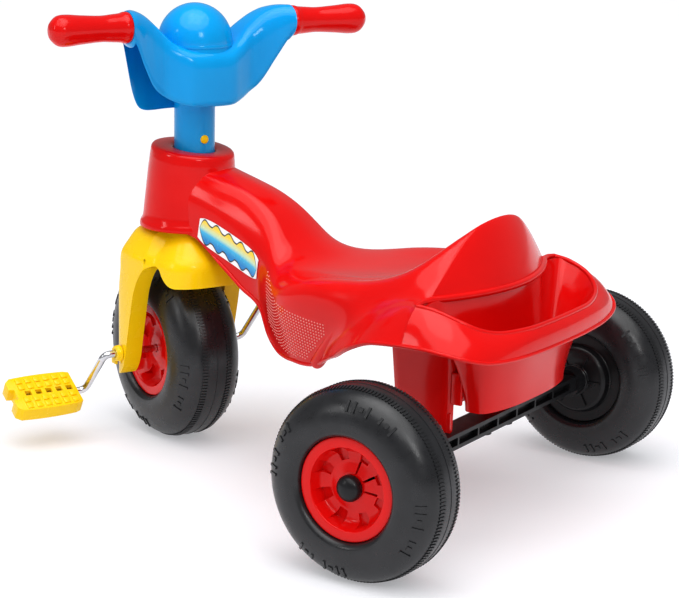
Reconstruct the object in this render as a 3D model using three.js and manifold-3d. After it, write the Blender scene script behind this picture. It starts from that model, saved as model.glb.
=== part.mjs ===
// Children's tricycle, mm. +X forward, +Y left, +Z up, floor at z = 0.
// Lengths below are measured from the point on the floor under the rear axle;
// the finished group is moved along X so its box is centred on the origin.
import * as THREE from "three";
import { mergeVertices } from "three/addons/utils/BufferGeometryUtils.js";
import Module from "manifold-3d";

const wasm = await Module();
wasm.setup();

// ---------------------------------------------------------------- sizes
const WHEELBASE = 372; // rear axle to steering axis
const TRAIL = 44; // front axle ahead of the steering axis
const STEER_REST = THREE.MathUtils.degToRad(-24); // bars turned to the right
const TRACK = 466; // between the middles of the rear tyres
const REAR_R = 92.5;
const REAR_W = 75;
const FRONT_R = 100;
const RAISE = 2 * (FRONT_R - 100); // a larger front wheel lifts the head, fork and bars
const AXLE_Z = FRONT_R - RAISE; // front axle over the floor of the lifted parts
const FRONT_W = 80;
const REAR_RIM_R = 50; // opening of the rear tyres
const FRONT_RIM_R = 52.5; // opening of the front tyre
const RIM_SET_IN = 6.4; // rim edge inboard of the tyre face
const RIM_LIP = 8; // rounding of the tyre round the rim
const RIM_DEEP = 20; // the rim sits this deep in the tyre
const RIM_DISH = 13.5; // depth of its dish
const TYRE_POWER = 2.7; // squareness of the tyre section

const HUB_OUT = 13; // the inner hub stands this far out of a rear wheel

const WALL = 3; // thickness of the mouldings
const GAP = 0.35; // between pieces that only touch
const RUN = 0.6; // between pieces that turn on each other

const HEAD_TOP = 332;
const HEAD_BOTTOM = 246;
const HEAD_R_TOP = 45;
const HEAD_R_BOTTOM = 51;
const HEAD_LEAN_TOP = 2; // the cone stands this far ahead of the steering axis
const HEAD_LEAN_BOTTOM = 6;
const HEAD_RISE = 0.13; // slope of its top face

const COLUMN_R = 22;
const COLUMN_BOTTOM = 262;
const STEM_R = COLUMN_R - WALL - GAP;
const STEM_TOP = 356;
const BUTTON_Z = 343.5;
const BUTTON_R = 4.6;
const BUTTON_ANGLE = THREE.MathUtils.degToRad(180); // on the rider's side

const AXLE_R = 4; // crank rod and rear axle
const CRANK_R = 56; // pedal spindle from the front axle
const CRANK_DROP = THREE.MathUtils.degToRad(56); // left arm below the forward line
const CRANK_BEND = 8; // length of each bend of the rod
const ARM_FROM = 87; // the rod leaves the axle line here
const ARM_TO = 96; // and reaches the spindle line here

const PEDAL_LONG = 77;
const PEDAL_WIDE = 52;
const PEDAL_THICK = 16;
const PEDAL_TILT = THREE.MathUtils.degToRad(30);

const GRIP_FROM = 97.5; // collar of a grip from the middle of the bar
const GRIP_TO = 187.5;
const GRIP_BACK = 33; // collar behind the steering axis
const GRIP_SWEEP = 6.4; // further back at the tip
const GRIP_Z = 467.5;
const GRIP_BULB = 16.2;
const DOME_R = 40;
const DOME_BASE = 446;
const DOME_TOP = 487;

const TUB_FLOOR = 128; // inside floor of the tray pocket
const BEAM_TOP = 103;
const BEAM_BOTTOM = 87;
const BEAM_WIDE = 26;
const SCREW_R = 2.4;

// ---------------------------------------------------------------- colours
const paint = (color, roughness = 0.35, metalness = 0) =>
  new THREE.MeshStandardMaterial({ color, roughness, metalness });
const red = () => paint(0xe41a14, 0.25);
const blue = () => paint(0x0096de, 0.3);
const yellow = () => paint(0xffd600, 0.4);
const black = () => paint(0x26272a, 0.5);
const steel = () => paint(0xb9bcc0, 0.25, 1);

// ---------------------------------------------------------------- helpers
// Rows of [t, a, b, ...] read at t with a smooth curve through them.
function read(rows, t) {
  const n = rows.length;
  const up = rows[0][0] < rows[n - 1][0];
  let i = 0;
  while (i < n - 2 && (up ? rows[i + 1][0] < t : rows[i + 1][0] > t)) i++;
  const h = rows[i + 1][0] - rows[i][0];
  const s = Math.min(1, Math.max(0, (t - rows[i][0]) / h));
  const slope = (k, c) => {
    const a = rows[Math.max(0, k - 1)];
    const b = rows[Math.min(n - 1, k + 1)];
    return (b[c] - a[c]) / (b[0] - a[0]);
  };
  const mix = (c) => {
    const p = rows[i][c];
    const q = rows[i + 1][c];
    const d = q - p;
    const m0 = slope(i, c) * h;
    const m1 = slope(i + 1, c) * h;
    return p + m0 * s + (3 * d - 2 * m0 - m1) * s * s + (m0 + m1 - 2 * d) * s ** 3;
  };
  return rows[i].slice(1).map((_, c) => mix(c + 1));
}

// Points along a smooth curve through the given ones, evenly shared between them.
function through(points, count) {
  const rows = points.map((p, i) => [i, ...p]);
  const last = points.length - 1;
  return Array.from({ length: count + 1 }, (_, k) => read(rows, (last * k) / count));
}

function geometryOf(points, triangles) {
  const g = new THREE.BufferGeometry();
  g.setAttribute("position", new THREE.Float32BufferAttribute(points.flat(), 3));
  g.setIndex(triangles);
  return g;
}

function solid(geometry) {
  const g = geometry.index ? geometry.toNonIndexed() : geometry.clone();
  g.deleteAttribute("normal");
  g.deleteAttribute("uv");
  const merged = mergeVertices(g, 1e-4);
  const make = (triVerts) =>
    new wasm.Manifold(
      new wasm.Mesh({ numProp: 3, vertProperties: merged.attributes.position.array, triVerts }),
    );
  const tri = new Uint32Array(merged.index.array);
  const made = make(tri);
  return made.volume() < 0 ? make(tri.reverse()) : made;
}

const moved = (s, x, y, z) => s.translate([x, y, z]);
const join = (list) => list.reduce((a, b) => a.add(b));
const largest = (s) => s.decompose().reduce((a, b) => (b.volume() > a.volume() ? b : a));
const less = (s, list) => list.reduce((a, b) => a.subtract(b), s);

function meshOf(name, s, material) {
  const m = s.getMesh();
  const p = new Float32Array(m.numVert * 3);
  for (let i = 0; i < m.numVert; i++)
    p.set(m.vertProperties.subarray(i * m.numProp, i * m.numProp + 3), i * 3);
  const g = new THREE.BufferGeometry();
  g.setAttribute("position", new THREE.BufferAttribute(p, 3));
  g.setIndex(new THREE.BufferAttribute(new Uint32Array(m.triVerts), 1));
  g.computeVertexNormals();
  const mesh = new THREE.Mesh(g, material);
  mesh.name = name;
  return mesh;
}

// Closed tube of rings: every ring has the same number of points, wound left about the path.
function loft(rings) {
  const n = rings[0].length;
  const points = rings.flat();
  const tri = [];
  for (let i = 0; i + 1 < rings.length; i++)
    for (let j = 0; j < n; j++) {
      const a = i * n + j;
      const b = i * n + ((j + 1) % n);
      tri.push(a, b, b + n, a, b + n, a + n);
    }
  const cap = (ring, base, flip) => {
    const mid = ring.reduce((s, p) => s.map((v, k) => v + p[k] / n), [0, 0, 0]);
    const c = points.push(mid) - 1;
    for (let j = 0; j < n; j++) {
      const a = base + j;
      const b = base + ((j + 1) % n);
      tri.push(...(flip ? [c, b, a] : [c, a, b]));
    }
  };
  cap(rings[0], 0, true);
  cap(rings[rings.length - 1], (rings.length - 1) * n, false);
  return solid(geometryOf(points, tri));
}

// A sheet of the given thickness under a grid of points; ring = true joins its long edges,
// closed = true closes the last row over its middle.
function sheet(grid, thick, { ring = false, closed = false } = {}) {
  const rows = grid.length;
  const cols = grid[0].length;
  const at = (i, j) => {
    const r = Math.min(rows - 1, Math.max(0, i));
    const c = ring ? (j + cols) % cols : Math.min(cols - 1, Math.max(0, j));
    return new THREE.Vector3(...grid[r][c]);
  };
  const under = grid.map((row, i) =>
    row.map((p, j) => {
      const du = at(i + 1, j).sub(at(i - 1, j));
      const dv = at(i, j + 1).sub(at(i, j - 1));
      const n = du.cross(dv).normalize();
      return new THREE.Vector3(...p).addScaledVector(n, -thick).toArray();
    }),
  );
  const points = [...grid.flat(), ...under.flat()];
  const half = rows * cols;
  const tri = [];
  const quad = (a, b, c, d) => tri.push(a, b, c, a, c, d);
  const wide = ring ? cols : cols - 1;
  for (let i = 0; i + 1 < rows; i++)
    for (let j = 0; j < wide; j++) {
      const a = i * cols + j;
      const b = i * cols + ((j + 1) % cols);
      quad(a, a + cols, b + cols, b);
      quad(half + a, half + b, half + b + cols, half + a + cols);
    }
  const edge = (a, b) => quad(a, b, half + b, half + a);
  for (let j = 0; j < wide; j++) {
    const b = (j + 1) % cols;
    const end = (rows - 1) * cols;
    edge(j, b);
    if (!closed) edge(end + b, end + j);
  }
  if (closed) {
    const mid = (list) =>
      list.reduce((s, p) => s.map((v, k) => v + p[k] / cols), [0, 0, 0]);
    const end = (rows - 1) * cols;
    const top = points.push(mid(grid[rows - 1])) - 1;
    const low = points.push(mid(under[rows - 1])) - 1;
    for (let j = 0; j < cols; j++) {
      const b = (j + 1) % cols;
      tri.push(end + b, end + j, top);
      tri.push(half + end + j, half + end + b, low);
    }
  }
  if (!ring)
    for (let i = 0; i + 1 < rows; i++) {
      edge(i * cols + cols, i * cols);
      edge(i * cols + cols - 1, i * cols + 2 * cols - 1);
    }
  return solid(geometryOf(points, tri));
}

// Turned solid about Z from [radius, height] pairs given upwards on the outside.
function turned(profile, segments = 40) {
  const g = new THREE.LatheGeometry(
    profile.map(([r, h]) => new THREE.Vector2(r, h)),
    segments,
  );
  g.rotateX(Math.PI / 2);
  return solid(g);
}

// Turned solid about the Y axis: [radius, y] pairs, outside first given towards +Y.
function wheelTurned(profile, segments = 40) {
  return solid(
    new THREE.LatheGeometry(
      profile.map(([r, y]) => new THREE.Vector2(r, y)),
      segments,
    ),
  );
}

const post = (r, z0, z1, segments = 32) =>
  turned([[0, z0], [r, z0], [r, z1], [0, z1]], segments);
const peg = (r, y0, y1, segments = 24) =>
  wheelTurned([[0, y0], [r, y0], [r, y1], [0, y1]], segments);

function block(x0, x1, y0, y1, z0, z1) {
  const g = new THREE.BoxGeometry(x1 - x0, y1 - y0, z1 - z0);
  g.translate((x0 + x1) / 2, (y0 + y1) / 2, (z0 + z1) / 2);
  return solid(g);
}

// Flat outline in X and Z, given counter-clockwise seen from -Y, from y0 to y1.
function plate(outline, y0, y1) {
  const g = new THREE.ExtrudeGeometry(outline, {
    depth: y1 - y0,
    bevelEnabled: false,
    curveSegments: 6,
  });
  g.rotateX(Math.PI / 2);
  g.translate(0, y1, 0);
  return solid(g);
}

// Rounded rectangle in plan as a ring of points.
function roundRing(x0, x1, half, r, z, per = 5) {
  const ring = [];
  const corner = (cx, cy, from) => {
    for (let k = 0; k <= per; k++) {
      const a = from + (Math.PI / 2) * (k / per);
      ring.push([cx + r * Math.cos(a), cy + r * Math.sin(a), z]);
    }
  };
  corner(x1 - r, half - r, 0);
  corner(x0 + r, half - r, Math.PI / 2);
  corner(x0 + r, -half + r, Math.PI);
  corner(x1 - r, -half + r, 1.5 * Math.PI);
  return ring;
}

const BACK_AT = 5; // station of the backrest's crest
const HEAD_AT = 352; // station of the end inside the head
const HEAD_INSIDE = 20; // which lies this far behind the steering axis

// How far a station at x has risen with the head, 0 to 1.
const risen = (x) => THREE.MathUtils.smoothstep(x, 70, WHEELBASE - 46);

// Stations keep their share of the way from the tray to the head, and rise with it.
function toHead([x, dc, de, zc, ye, ze, yw, zw, ys, zs, yr, zr]) {
  const run = (WHEELBASE - HEAD_INSIDE - BACK_AT) / (HEAD_AT - BACK_AT);
  const at = BACK_AT + (x - BACK_AT) * run;
  const up = RAISE * risen(at);
  return [at, dc, de, zc + up, ye, ze + up, yw, zw + up, ys, zs + up, yr, zr + up];
}

// ---------------------------------------------------------------- red body
// Sections across the body, from the steering head back to the top of the backrest:
// [x, centre x shift, edge x shift, centre z, edge y, z, wall y, z, skirt y, z, rim y, z]
const BODY = [
  [352, 0, 0, 320, 28, 313, 40, 290, 41, 264, 41, 245.6],
  [338, 0, 0, 316.4, 28, 309.2, 40, 287.2, 41, 261, 41, 241.8],
  [326, 0, 0, 313, 28, 305.5, 40, 284, 41, 258, 41, 233],
  [300, 0, 0, 305.5, 28, 298, 40, 275, 42, 248, 43, 216],
  [275, 0, 0, 297, 29, 289.5, 42, 265, 45, 232, 45, 198],
  [250, 0, 0, 283.5, 32, 275.5, 48, 250, 52, 220, 47, 182],
  [236, 0, 0, 272.5, 38, 261, 58, 235, 60, 200, 51, 156],
  [220, 0, 0, 257.5, 50, 241, 74, 220, 72, 186, 58, 143],
  [204, 0, 0, 246.5, 66, 231, 90, 211, 82, 179, 67, 140],
  [188, 0, 0, 238.5, 84, 229.5, 100, 210, 90, 178, 76, 141],
  [170, 0, 0, 234.5, 96, 232, 106, 211, 95, 177, 84, 142],
  [150, 0, 0, 232, 102, 236, 110, 213, 99, 175, 91, 146],
  [125, 0, 0, 231, 104, 239.5, 114, 216, 107, 184, 109, 160],
  [100, 0, 0, 232, 104, 242, 116, 219, 119, 194, 133, 173],
  [75, 0, 0, 237, 103, 247, 117, 225, 133, 206, 152, 188],
  [50, 0, 0, 248, 99, 256, 117, 234, 139, 221, 160, 199],
  [28, 0, 0, 266, 90, 270, 115, 241, 140, 232, 164, 203],
  [5, -11, -1, 307, 65, 291, 114, 242, 140, 240, 166, 205],
].map(toHead);
const BODY_STEPS = 18;
const BODY_ACROSS = 8; // cells from the middle of the top to the rim

// Left half of one section, from the middle of the top down to the rim.
function bodyHalf(x, count) {
  const [dc, de, zc, ye, ze, yw, zw, ys, zs, yr, zr] = read(BODY, x);
  const line = [
    [x + dc, 0, zc],
    [x + (dc + 2 * de) / 3, ye * 0.62, zc + (ze - zc) * 0.42],
    [x + de, ye, ze],
    [x, yw, zw],
    [x, ys, zs],
    [x, yr, zr],
  ];
  return through(line, count);
}

// Whole section from left to right.
function mirrored(half) {
  const right = half.slice(1).map(([x, y, z]) => [x, -y, z]);
  return [...[...half].reverse(), ...right];
}

function bodyGrid(steps, count) {
  const first = BODY[0][0];
  const last = BODY[BODY.length - 1][0];
  return Array.from({ length: steps + 1 }, (_, i) =>
    mirrored(bodyHalf(first + ((last - first) * i) / steps, count)),
  );
}

// Ledge at the foot of the backrest, seen from above: an arc from side to side.
const LEDGE_Z = 241;
const LEDGE_HALF = 114;
const LEDGE_BACK = -28;
const LEDGE_FRONT = BODY[BODY.length - 1][0];

function ledge(y) {
  const s = y / LEDGE_HALF;
  return LEDGE_BACK + (LEDGE_FRONT - LEDGE_BACK) * s * s;
}

// Rear of the backrest, from its arched top edge round to the ledge.
function backGrid(steps, count) {
  const arch = mirrored(bodyHalf(LEDGE_FRONT, 5 * count).slice(0, 3 * count + 1));
  return Array.from({ length: steps + 1 }, (_, i) => {
    const a = (Math.PI / 2) * (i / steps);
    return arch.map(([x, y, z]) => {
      const half = LEDGE_HALF;
      const s = y / half;
      const yl = y * (1 + 0.08 * Math.sin(a) * (1 - s * s));
      const out = 0.34 * Math.sin(a) + 0.66 * (1 - Math.cos(a));
      return [x + (ledge(yl) - x) * out, y + (yl - y) * out, LEDGE_Z + (z - LEDGE_Z) * Math.cos(a)];
    });
  });
}

// Crest and lower edge of the tray rim on the left, from the backrest to the middle of the rear.
const CREST = [
  [5, 140, 240],
  [-14, 138, 237.5],
  [-36, 133, 230],
  [-53, 120, 221],
  [-64, 99, 216],
  [-74, 65, 215],
  [-77, 32, 215],
  [-77.5, 0, 215],
];
const LIP = [
  [5, 166, 205],
  [-18, 167, 205.5],
  [-42, 164, 203],
  [-60, 151, 198],
  [-71, 130, 193],
  [-79, 92, 190.5],
  [-83, 46, 190],
  [-84, 0, 190],
];

function trayGrid(count, across) {
  const crest = through(CREST, count);
  const lip = through(LIP, count);
  const left = crest.map((c, i) =>
    Array.from({ length: across + 1 }, (_, k) => {
      const t = 1 - k / across;
      const bow = 5 * Math.sin(Math.PI * t);
      const l = lip[i];
      return [
        c[0] + (l[0] - c[0]) * t - bow * (i / count) * 0.8,
        c[1] + (l[1] - c[1]) * t + bow * (1 - i / count) * 0.6,
        c[2] + (l[2] - c[2]) * t + bow * 0.5,
      ];
    }),
  );
  const right = left
    .slice(0, -1)
    .map((row) => row.map(([x, y, z]) => [x, -y, z]))
    .reverse();
  return [...left, ...right];
}

// Pocket behind the backrest: rings from its mouth down to the floor.
function pocketGrid(count, levels) {
  const crest = through(CREST, count).map(([x, y, z]) => [x, y - 0.5, z - 1]);
  const front = [];
  for (let k = 1; k < count; k++) {
    const y = -LEDGE_HALF + (2 * LEDGE_HALF * k) / count;
    front.push([ledge(y) - 0.5, y, LEDGE_Z - 0.5]);
  }
  const right = crest
    .slice(0, -1)
    .map(([x, y, z]) => [x, -y, z])
    .reverse();
  const mouth = [...crest, ...right, ...front].reverse();
  const floorAt = ([x, y]) => [
    -33 + (x + 33) * 0.42 + (x > -33 ? -2 : 2),
    Math.sign(y) * Math.min(Math.abs(y) * 0.66 + 2, 84),
  ];
  const rings = [];
  for (let i = 0; i <= levels; i++) {
    const t = i / levels;
    const pull = 1 - (1 - t) ** 1.6;
    rings.push(
      mouth.map((p) => {
        const [fx, fy] = floorAt(p);
        return [p[0] + (fx - p[0]) * pull, p[1] + (fy - p[1]) * pull, p[2] + (TUB_FLOOR - p[2]) * t];
      }),
    );
  }
  return rings;
}

// Rings of the head cone from below: [radius, height, part of the way up].
const HEAD = [
  [HEAD_R_BOTTOM + 3, HEAD_BOTTOM, 0],
  [HEAD_R_BOTTOM + 2.6, HEAD_BOTTOM + 6, 0],
  [HEAD_R_BOTTOM, HEAD_BOTTOM + 12, 0.1],
  [HEAD_R_TOP + 1, HEAD_TOP - 14, 0.84],
  [HEAD_R_TOP, HEAD_TOP - 4, 0.95],
  [HEAD_R_TOP - 1.5, HEAD_TOP - 1, 0.99],
  [HEAD_R_TOP - 4, HEAD_TOP, 1],
];

function headRing([r, z, up], segments) {
  const lean = HEAD_LEAN_BOTTOM + (HEAD_LEAN_TOP - HEAD_LEAN_BOTTOM) * up;
  return Array.from({ length: segments }, (_, k) => {
    const a = (2 * Math.PI * k) / segments;
    const x = lean + r * Math.cos(a);
    return [WHEELBASE + x, r * Math.sin(a), z + RAISE + HEAD_RISE * x * up];
  });
}

const head = (segments) => loft(HEAD.map((row) => headRing(row, segments)));

function headHollow(segments) {
  const rows = [
    [HEAD_R_BOTTOM - 1, HEAD_BOTTOM - 12, 0],
    [HEAD_R_TOP - 4, HEAD_TOP - 8, 1],
  ];
  const hole = moved(post(COLUMN_R + RUN, HEAD_TOP - 20, HEAD_TOP + 12, segments), WHEELBASE, 0, RAISE);
  return loft(rows.map((row) => headRing(row, segments))).add(hole);
}

// Box under the seat that carries the axle beam: open below.
const SADDLE_BOX = { x0: -10, x1: 67, half: 95, r: 13 };
const FOOT = 9; // width of the two feet that stand on the beam
function supportWalls() {
  const { x0, x1, half, r } = SADDLE_BOX;
  const z0 = BEAM_TOP + GAP;
  const at = (k, z, d) => roundRing(x0 + d, x1 - k - d, half - k * 0.4 - d, r - d * 0.8, z);
  const outer = loft([at(9, z0, 0), at(0, 212, 0)]);
  const inner = loft([at(9.2, z0 - 2, WALL), at(0, 214, WALL)]);
  const legs = half - FOOT;
  const between = block(x0 - 5, x1 + 5, -legs, legs, z0 - 5, TUB_FLOOR + 4);
  const feet = block(x0, BEAM_WIDE / 2, -half, half, z0, z0 + 20).intersect(outer);
  const bores = screwSpots().map(([x, y]) => moved(post(SCREW_R + GAP, z0 - 5, z0 + 12, 12), x, y, 0));
  return less(outer.subtract(inner).add(feet), [between, ...bores]);
}

function frameBody() {
  const shell = sheet(bodyGrid(BODY_STEPS, BODY_ACROSS), WALL);
  const back = sheet(backGrid(4, 2), WALL);
  const tray = sheet(trayGrid(9, 2), WALL);
  const pocket = sheet(pocketGrid(9, 3), WALL, { ring: true, closed: true });
  const trunk = join([shell, head(32)]).subtract(headHollow(32));
  return join([trunk, back, tray, pocket, supportWalls()]);
}

// Sticker low on each flank of the down tube: its middle line drops from front to rear.
const STICKER = { front: 334, rear: 250, mid: 255, drop: 32, half: 14.5, lean: 0.16, thick: 0.5, off: 1 };

// Point on the left flank of the body at x and z, lifted off it.
function flank(x, z, lift) {
  const line = bodyHalf(x, 40);
  let k = 18;
  while (k < line.length - 2 && line[k + 1][2] > z) k++;
  const a = line[k];
  const b = line[k + 1];
  const s = (a[2] - z) / (a[2] - b[2]);
  const run = Math.hypot(b[1] - a[1], b[2] - a[2]);
  const y = a[1] + (b[1] - a[1]) * s;
  return [x, y + (lift * (a[2] - b[2])) / run, z + (lift * (b[1] - a[1])) / run];
}

function stickerGrid(side, long, high, lift) {
  const { front, rear, mid, drop, half, lean } = STICKER;
  return Array.from({ length: long + 1 }, (_, i) =>
    Array.from({ length: high + 1 }, (_, k) => {
      const u = i / long;
      const tall = half * (1 - 0.3 * Math.abs(2 * u - 1) ** 6);
      const up = tall * (1 - (2 * k) / high);
      const along = front + (rear - front) * u + WHEELBASE - 372;
      const height = mid - drop * u + RAISE * risen(along);
      const [x, y, z] = flank(along - lean * up, height + up, lift);
      return [x, side * y, z];
    }),
  );
}

function sticker(side) {
  const grid = stickerGrid(side, 8, 3, STICKER.off + STICKER.thick);
  return sheet(side < 0 ? grid : grid.map((row) => [...row].reverse()), STICKER.thick);
}

// ---------------------------------------------------------------- wheels
// Tyre section from one rim edge over the tread to the other, as [radius, y].
function tyreSection(R, width, open, steps) {
  const h = R - open;
  const half = width / 2;
  const turn = THREE.MathUtils.degToRad(11);
  const over = Array.from({ length: steps + 1 }, (_, i) => {
    const a = turn + ((Math.PI - 2 * turn) * i) / steps;
    const c = Math.cos(a);
    const y = half * Math.sign(c) * Math.abs(c) ** (2 / TYRE_POWER);
    return [open + h * Math.sin(a) ** (2 / TYRE_POWER), y];
  });
  const lip = [90, 55, 20].map((deg) => {
    const b = THREE.MathUtils.degToRad(deg);
    return [open + RIM_LIP * (1 - Math.sin(b)), half - RIM_SET_IN * (1 - Math.cos(b))];
  });
  return [...lip, ...over, ...lip.map(([r, y]) => [r, -y]).reverse()];
}

function tyre(R, width, open, segments) {
  const seat = width / 2 - RIM_SET_IN - RIM_DEEP;
  const over = tyreSection(R, width, open, 6).reverse();
  return wheelTurned(
    [
      [open, -seat],
      ...over,
      [open, seat],
      [open - 12, seat],
      [open - 12, -seat],
      [open, -seat],
    ],
    segments,
  );
}

const POCKETS = 8;

// Red rim facing +Y with its edge in the plane y = face.
function rim(open, face, bore, segments) {
  const body = wheelTurned(
    [
      [bore, face - RIM_DEEP + GAP],
      [open - GAP, face - RIM_DEEP + GAP],
      [open - GAP, face - 1],
      [open - 1.4, face],
      [open - 9, face],
      [open - 11, face - 2],
      [open - 17, face - RIM_DISH],
      [24, face - RIM_DISH],
      [20, face - RIM_DISH + 3],
      [bore, face - RIM_DISH + 3],
      [bore, face - RIM_DEEP + GAP],
    ],
    segments,
  );
  const pockets = Array.from({ length: POCKETS }, (_, i) => {
    const cut = block(25, 34, -4.5, 4.5, -6, 6).rotate([90, 0, 0]);
    const placed = cut.translate([0, face - RIM_DISH, 0]);
    return placed.rotate([0, (360 * (i + 0.5)) / POCKETS, 0]);
  });
  return less(body, pockets);
}

// Black hub that closes the inner side of a rear wheel, facing -Y.
function innerHub(open, face, bore, segments) {
  return wheelTurned(
    [
      [bore, face - HUB_OUT],
      [17, face - HUB_OUT],
      [17, face - 9],
      [33, face - 9],
      [36, face - 6],
      [38, face + 2],
      [open - GAP, face + 2],
      [open - GAP, face + RIM_DEEP - GAP],
      [bore, face + RIM_DEEP - GAP],
      [bore, face - HUB_OUT],
    ],
    segments,
  );
}

const WHEEL_BORE = AXLE_R + RUN;
const SEGMENTS = 28;

function rearWheel(side, name) {
  const g = new THREE.Group();
  g.position.set(0, (side * TRACK) / 2, REAR_R);
  if (side < 0) g.rotation.z = Math.PI;
  const face = REAR_W / 2 - RIM_SET_IN;
  g.add(
    meshOf("rear_tyre_" + name, tyre(REAR_R, REAR_W, REAR_RIM_R, SEGMENTS), black()),
    meshOf("rear_rim_" + name, rim(REAR_RIM_R, face, WHEEL_BORE, SEGMENTS), red()),
    meshOf("rear_hub_" + name, innerHub(REAR_RIM_R, -face, WHEEL_BORE, SEGMENTS), black()),
  );
  return g;
}

const CAP_R = 12.5;
function axleEnds(side, name) {
  const g = new THREE.Group();
  g.position.set(0, (side * TRACK) / 2, REAR_R);
  if (side < 0) g.rotation.z = Math.PI;
  const face = REAR_W / 2 - RIM_SET_IN - RIM_DISH + 3;
  const washer = wheelTurned(
    [
      [AXLE_R + GAP, face + GAP],
      [9.5, face + GAP],
      [9.5, face + GAP + 1.2],
      [AXLE_R + GAP, face + GAP + 1.2],
      [AXLE_R + GAP, face + GAP],
    ],
    20,
  );
  const foot = face + 2 * GAP + 1.2;
  const cap = wheelTurned(
    [
      [0, foot],
      [AXLE_R + GAP, foot],
      [CAP_R, foot],
      [CAP_R, foot + 4],
      [CAP_R * 0.86, foot + 8],
      [CAP_R * 0.5, foot + 11],
      [0, foot + 12],
    ],
    20,
  ).subtract(peg(AXLE_R + GAP, foot - 1, foot + 6 + GAP, 14));
  g.add(meshOf("axle_washer_" + name, washer, steel()));
  g.add(meshOf("axle_cap_" + name, cap, black()));
  return g;
}

const AXLE_HALF = TRACK / 2 + REAR_W / 2 - RIM_SET_IN - RIM_DISH + 3 + 2 * GAP + 1.2 + 6;

// ---------------------------------------------------------------- axle beam
const COLLAR = 16; // round end of the beam
const BEAM_HALF = TRACK / 2 - REAR_W / 2 + RIM_SET_IN - HUB_OUT - COLLAR - RUN;
function axleBeam() {
  const w = BEAM_WIDE / 2;
  const bar = block(-w, w, -BEAM_HALF, BEAM_HALF, BEAM_BOTTOM, BEAM_TOP);
  const cells = [];
  const pitch = 40;
  for (let y = -BEAM_HALF + 16; y < BEAM_HALF - 10; y += pitch) {
    const y1 = y + pitch - 3;
    cells.push(block(-w - 1, -w + 6, y, y1, BEAM_BOTTOM + 4, BEAM_TOP - 4));
    cells.push(block(w - 6, w + 1, y, y1, BEAM_BOTTOM + 4, BEAM_TOP - 4));
  }
  const bumps = [-36, 8].map((y) =>
    moved(post(8, BEAM_BOTTOM - 5, BEAM_BOTTOM + 4, 16), 0, y, 0),
  );
  const collars = [-1, 1].map((s) =>
    moved(peg(COLLAR, -COLLAR / 2, COLLAR / 2, 24), 0, s * (BEAM_HALF + COLLAR / 2), REAR_R),
  );
  const bore = peg(AXLE_R + GAP, -BEAM_HALF - 20, BEAM_HALF + 20, 16);
  return less(join([bar, ...bumps, ...collars]), [
    ...cells,
    ...screwSpots().map(([x, y]) => moved(post(SCREW_R + GAP, 60, 120, 12), x, y, 0)),
    moved(bore, 0, 0, REAR_R),
  ]);
}

const screwSpots = () =>
  [1, -1].map((s) => [BEAM_WIDE / 2 - 4.5, s * (SADDLE_BOX.half - FOOT / 2 - 0.3)]);

function beamScrew() {
  const head = post(4.2, BEAM_BOTTOM - GAP - 2.6, BEAM_BOTTOM - GAP, 14);
  return head.add(post(SCREW_R, BEAM_BOTTOM - GAP - 1, BEAM_TOP + 9, 12));
}

// ---------------------------------------------------------------- steering
// Handlebar moulding, sections across:
// [side, rear, front, top, lower edge behind, lower edge in front, squareness above, below]
const BAR = [
  [0, -46, 32, 442, 381, 370, 4.2, 14],
  [24, -44, 29, 442.5, 382, 370, 4.2, 14],
  [40, -36, 24, 450, 387, 370, 4, 14],
  [52, -31, 19, 462, 394, 371, 3.6, 14],
  [60, -32, 16, 469, 400, 374, 3.4, 13],
  [66, -33, 13, 474, 406, 381, 3.2, 11],
  [72, -35.5, 10, 478, 415, 395, 3, 9],
  [78, -38, 6.5, 481, 424, 416, 2.8, 6.5],
  [88, -44, -3, 484, 439, 441, 2.4, 3.4],
  [97.5, -49.5, -15, 484.5, 450.5, 450.5, 2, 2],
];
const BAR_END = BAR[BAR.length - 1][0];
const BAR_STOPS = [0, 16, 30, 41, 51, 60, 67, 74, 81, 89];

function barSection(side, inset, drop, count) {
  const [rear, front, top, lowRear, lowFront, above, below] = read(BAR, Math.min(BAR_END, Math.abs(side)));
  const a = (front - rear) / 2 - inset;
  const cx = (front + rear) / 2;
  const cz = (top + Math.max(lowRear, lowFront)) / 2;
  return Array.from({ length: count }, (_, k) => {
    const t = (2 * Math.PI * k) / count;
    const c = Math.cos(t);
    const s = Math.sin(t);
    const n = s < 0 ? below : above;
    const along = Math.sign(c) * Math.abs(c) ** (2 / n);
    const up = Math.abs(s) ** (2 / n);
    const low = lowRear + ((lowFront - lowRear) * (along + 1)) / 2;
    const z = s < -0.1 ? cz - (cz - low - inset) * up - drop : cz + (top - cz - inset) * up * Math.sign(s);
    return [cx + a * along, side, z];
  });
}

function bar(inset, reach, drop, count) {
  const half = [...BAR_STOPS.filter((side) => side < reach - 2), reach];
  const sides = [...half.slice(1).map((side) => -side).reverse(), ...half];
  return loft(sides.map((side) => barSection(side, inset, drop, count)));
}

function domeProfile(r, base, top, steps) {
  const over = Array.from({ length: steps }, (_, i) => {
    const a = (Math.PI / 2) * ((i + 1) / steps);
    return [i === steps - 1 ? 0 : r * Math.cos(a), base + (top - base) * Math.sin(a)];
  });
  return [[0, base - 24], [r, base - 24], [r, base], ...over];
}

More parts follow.
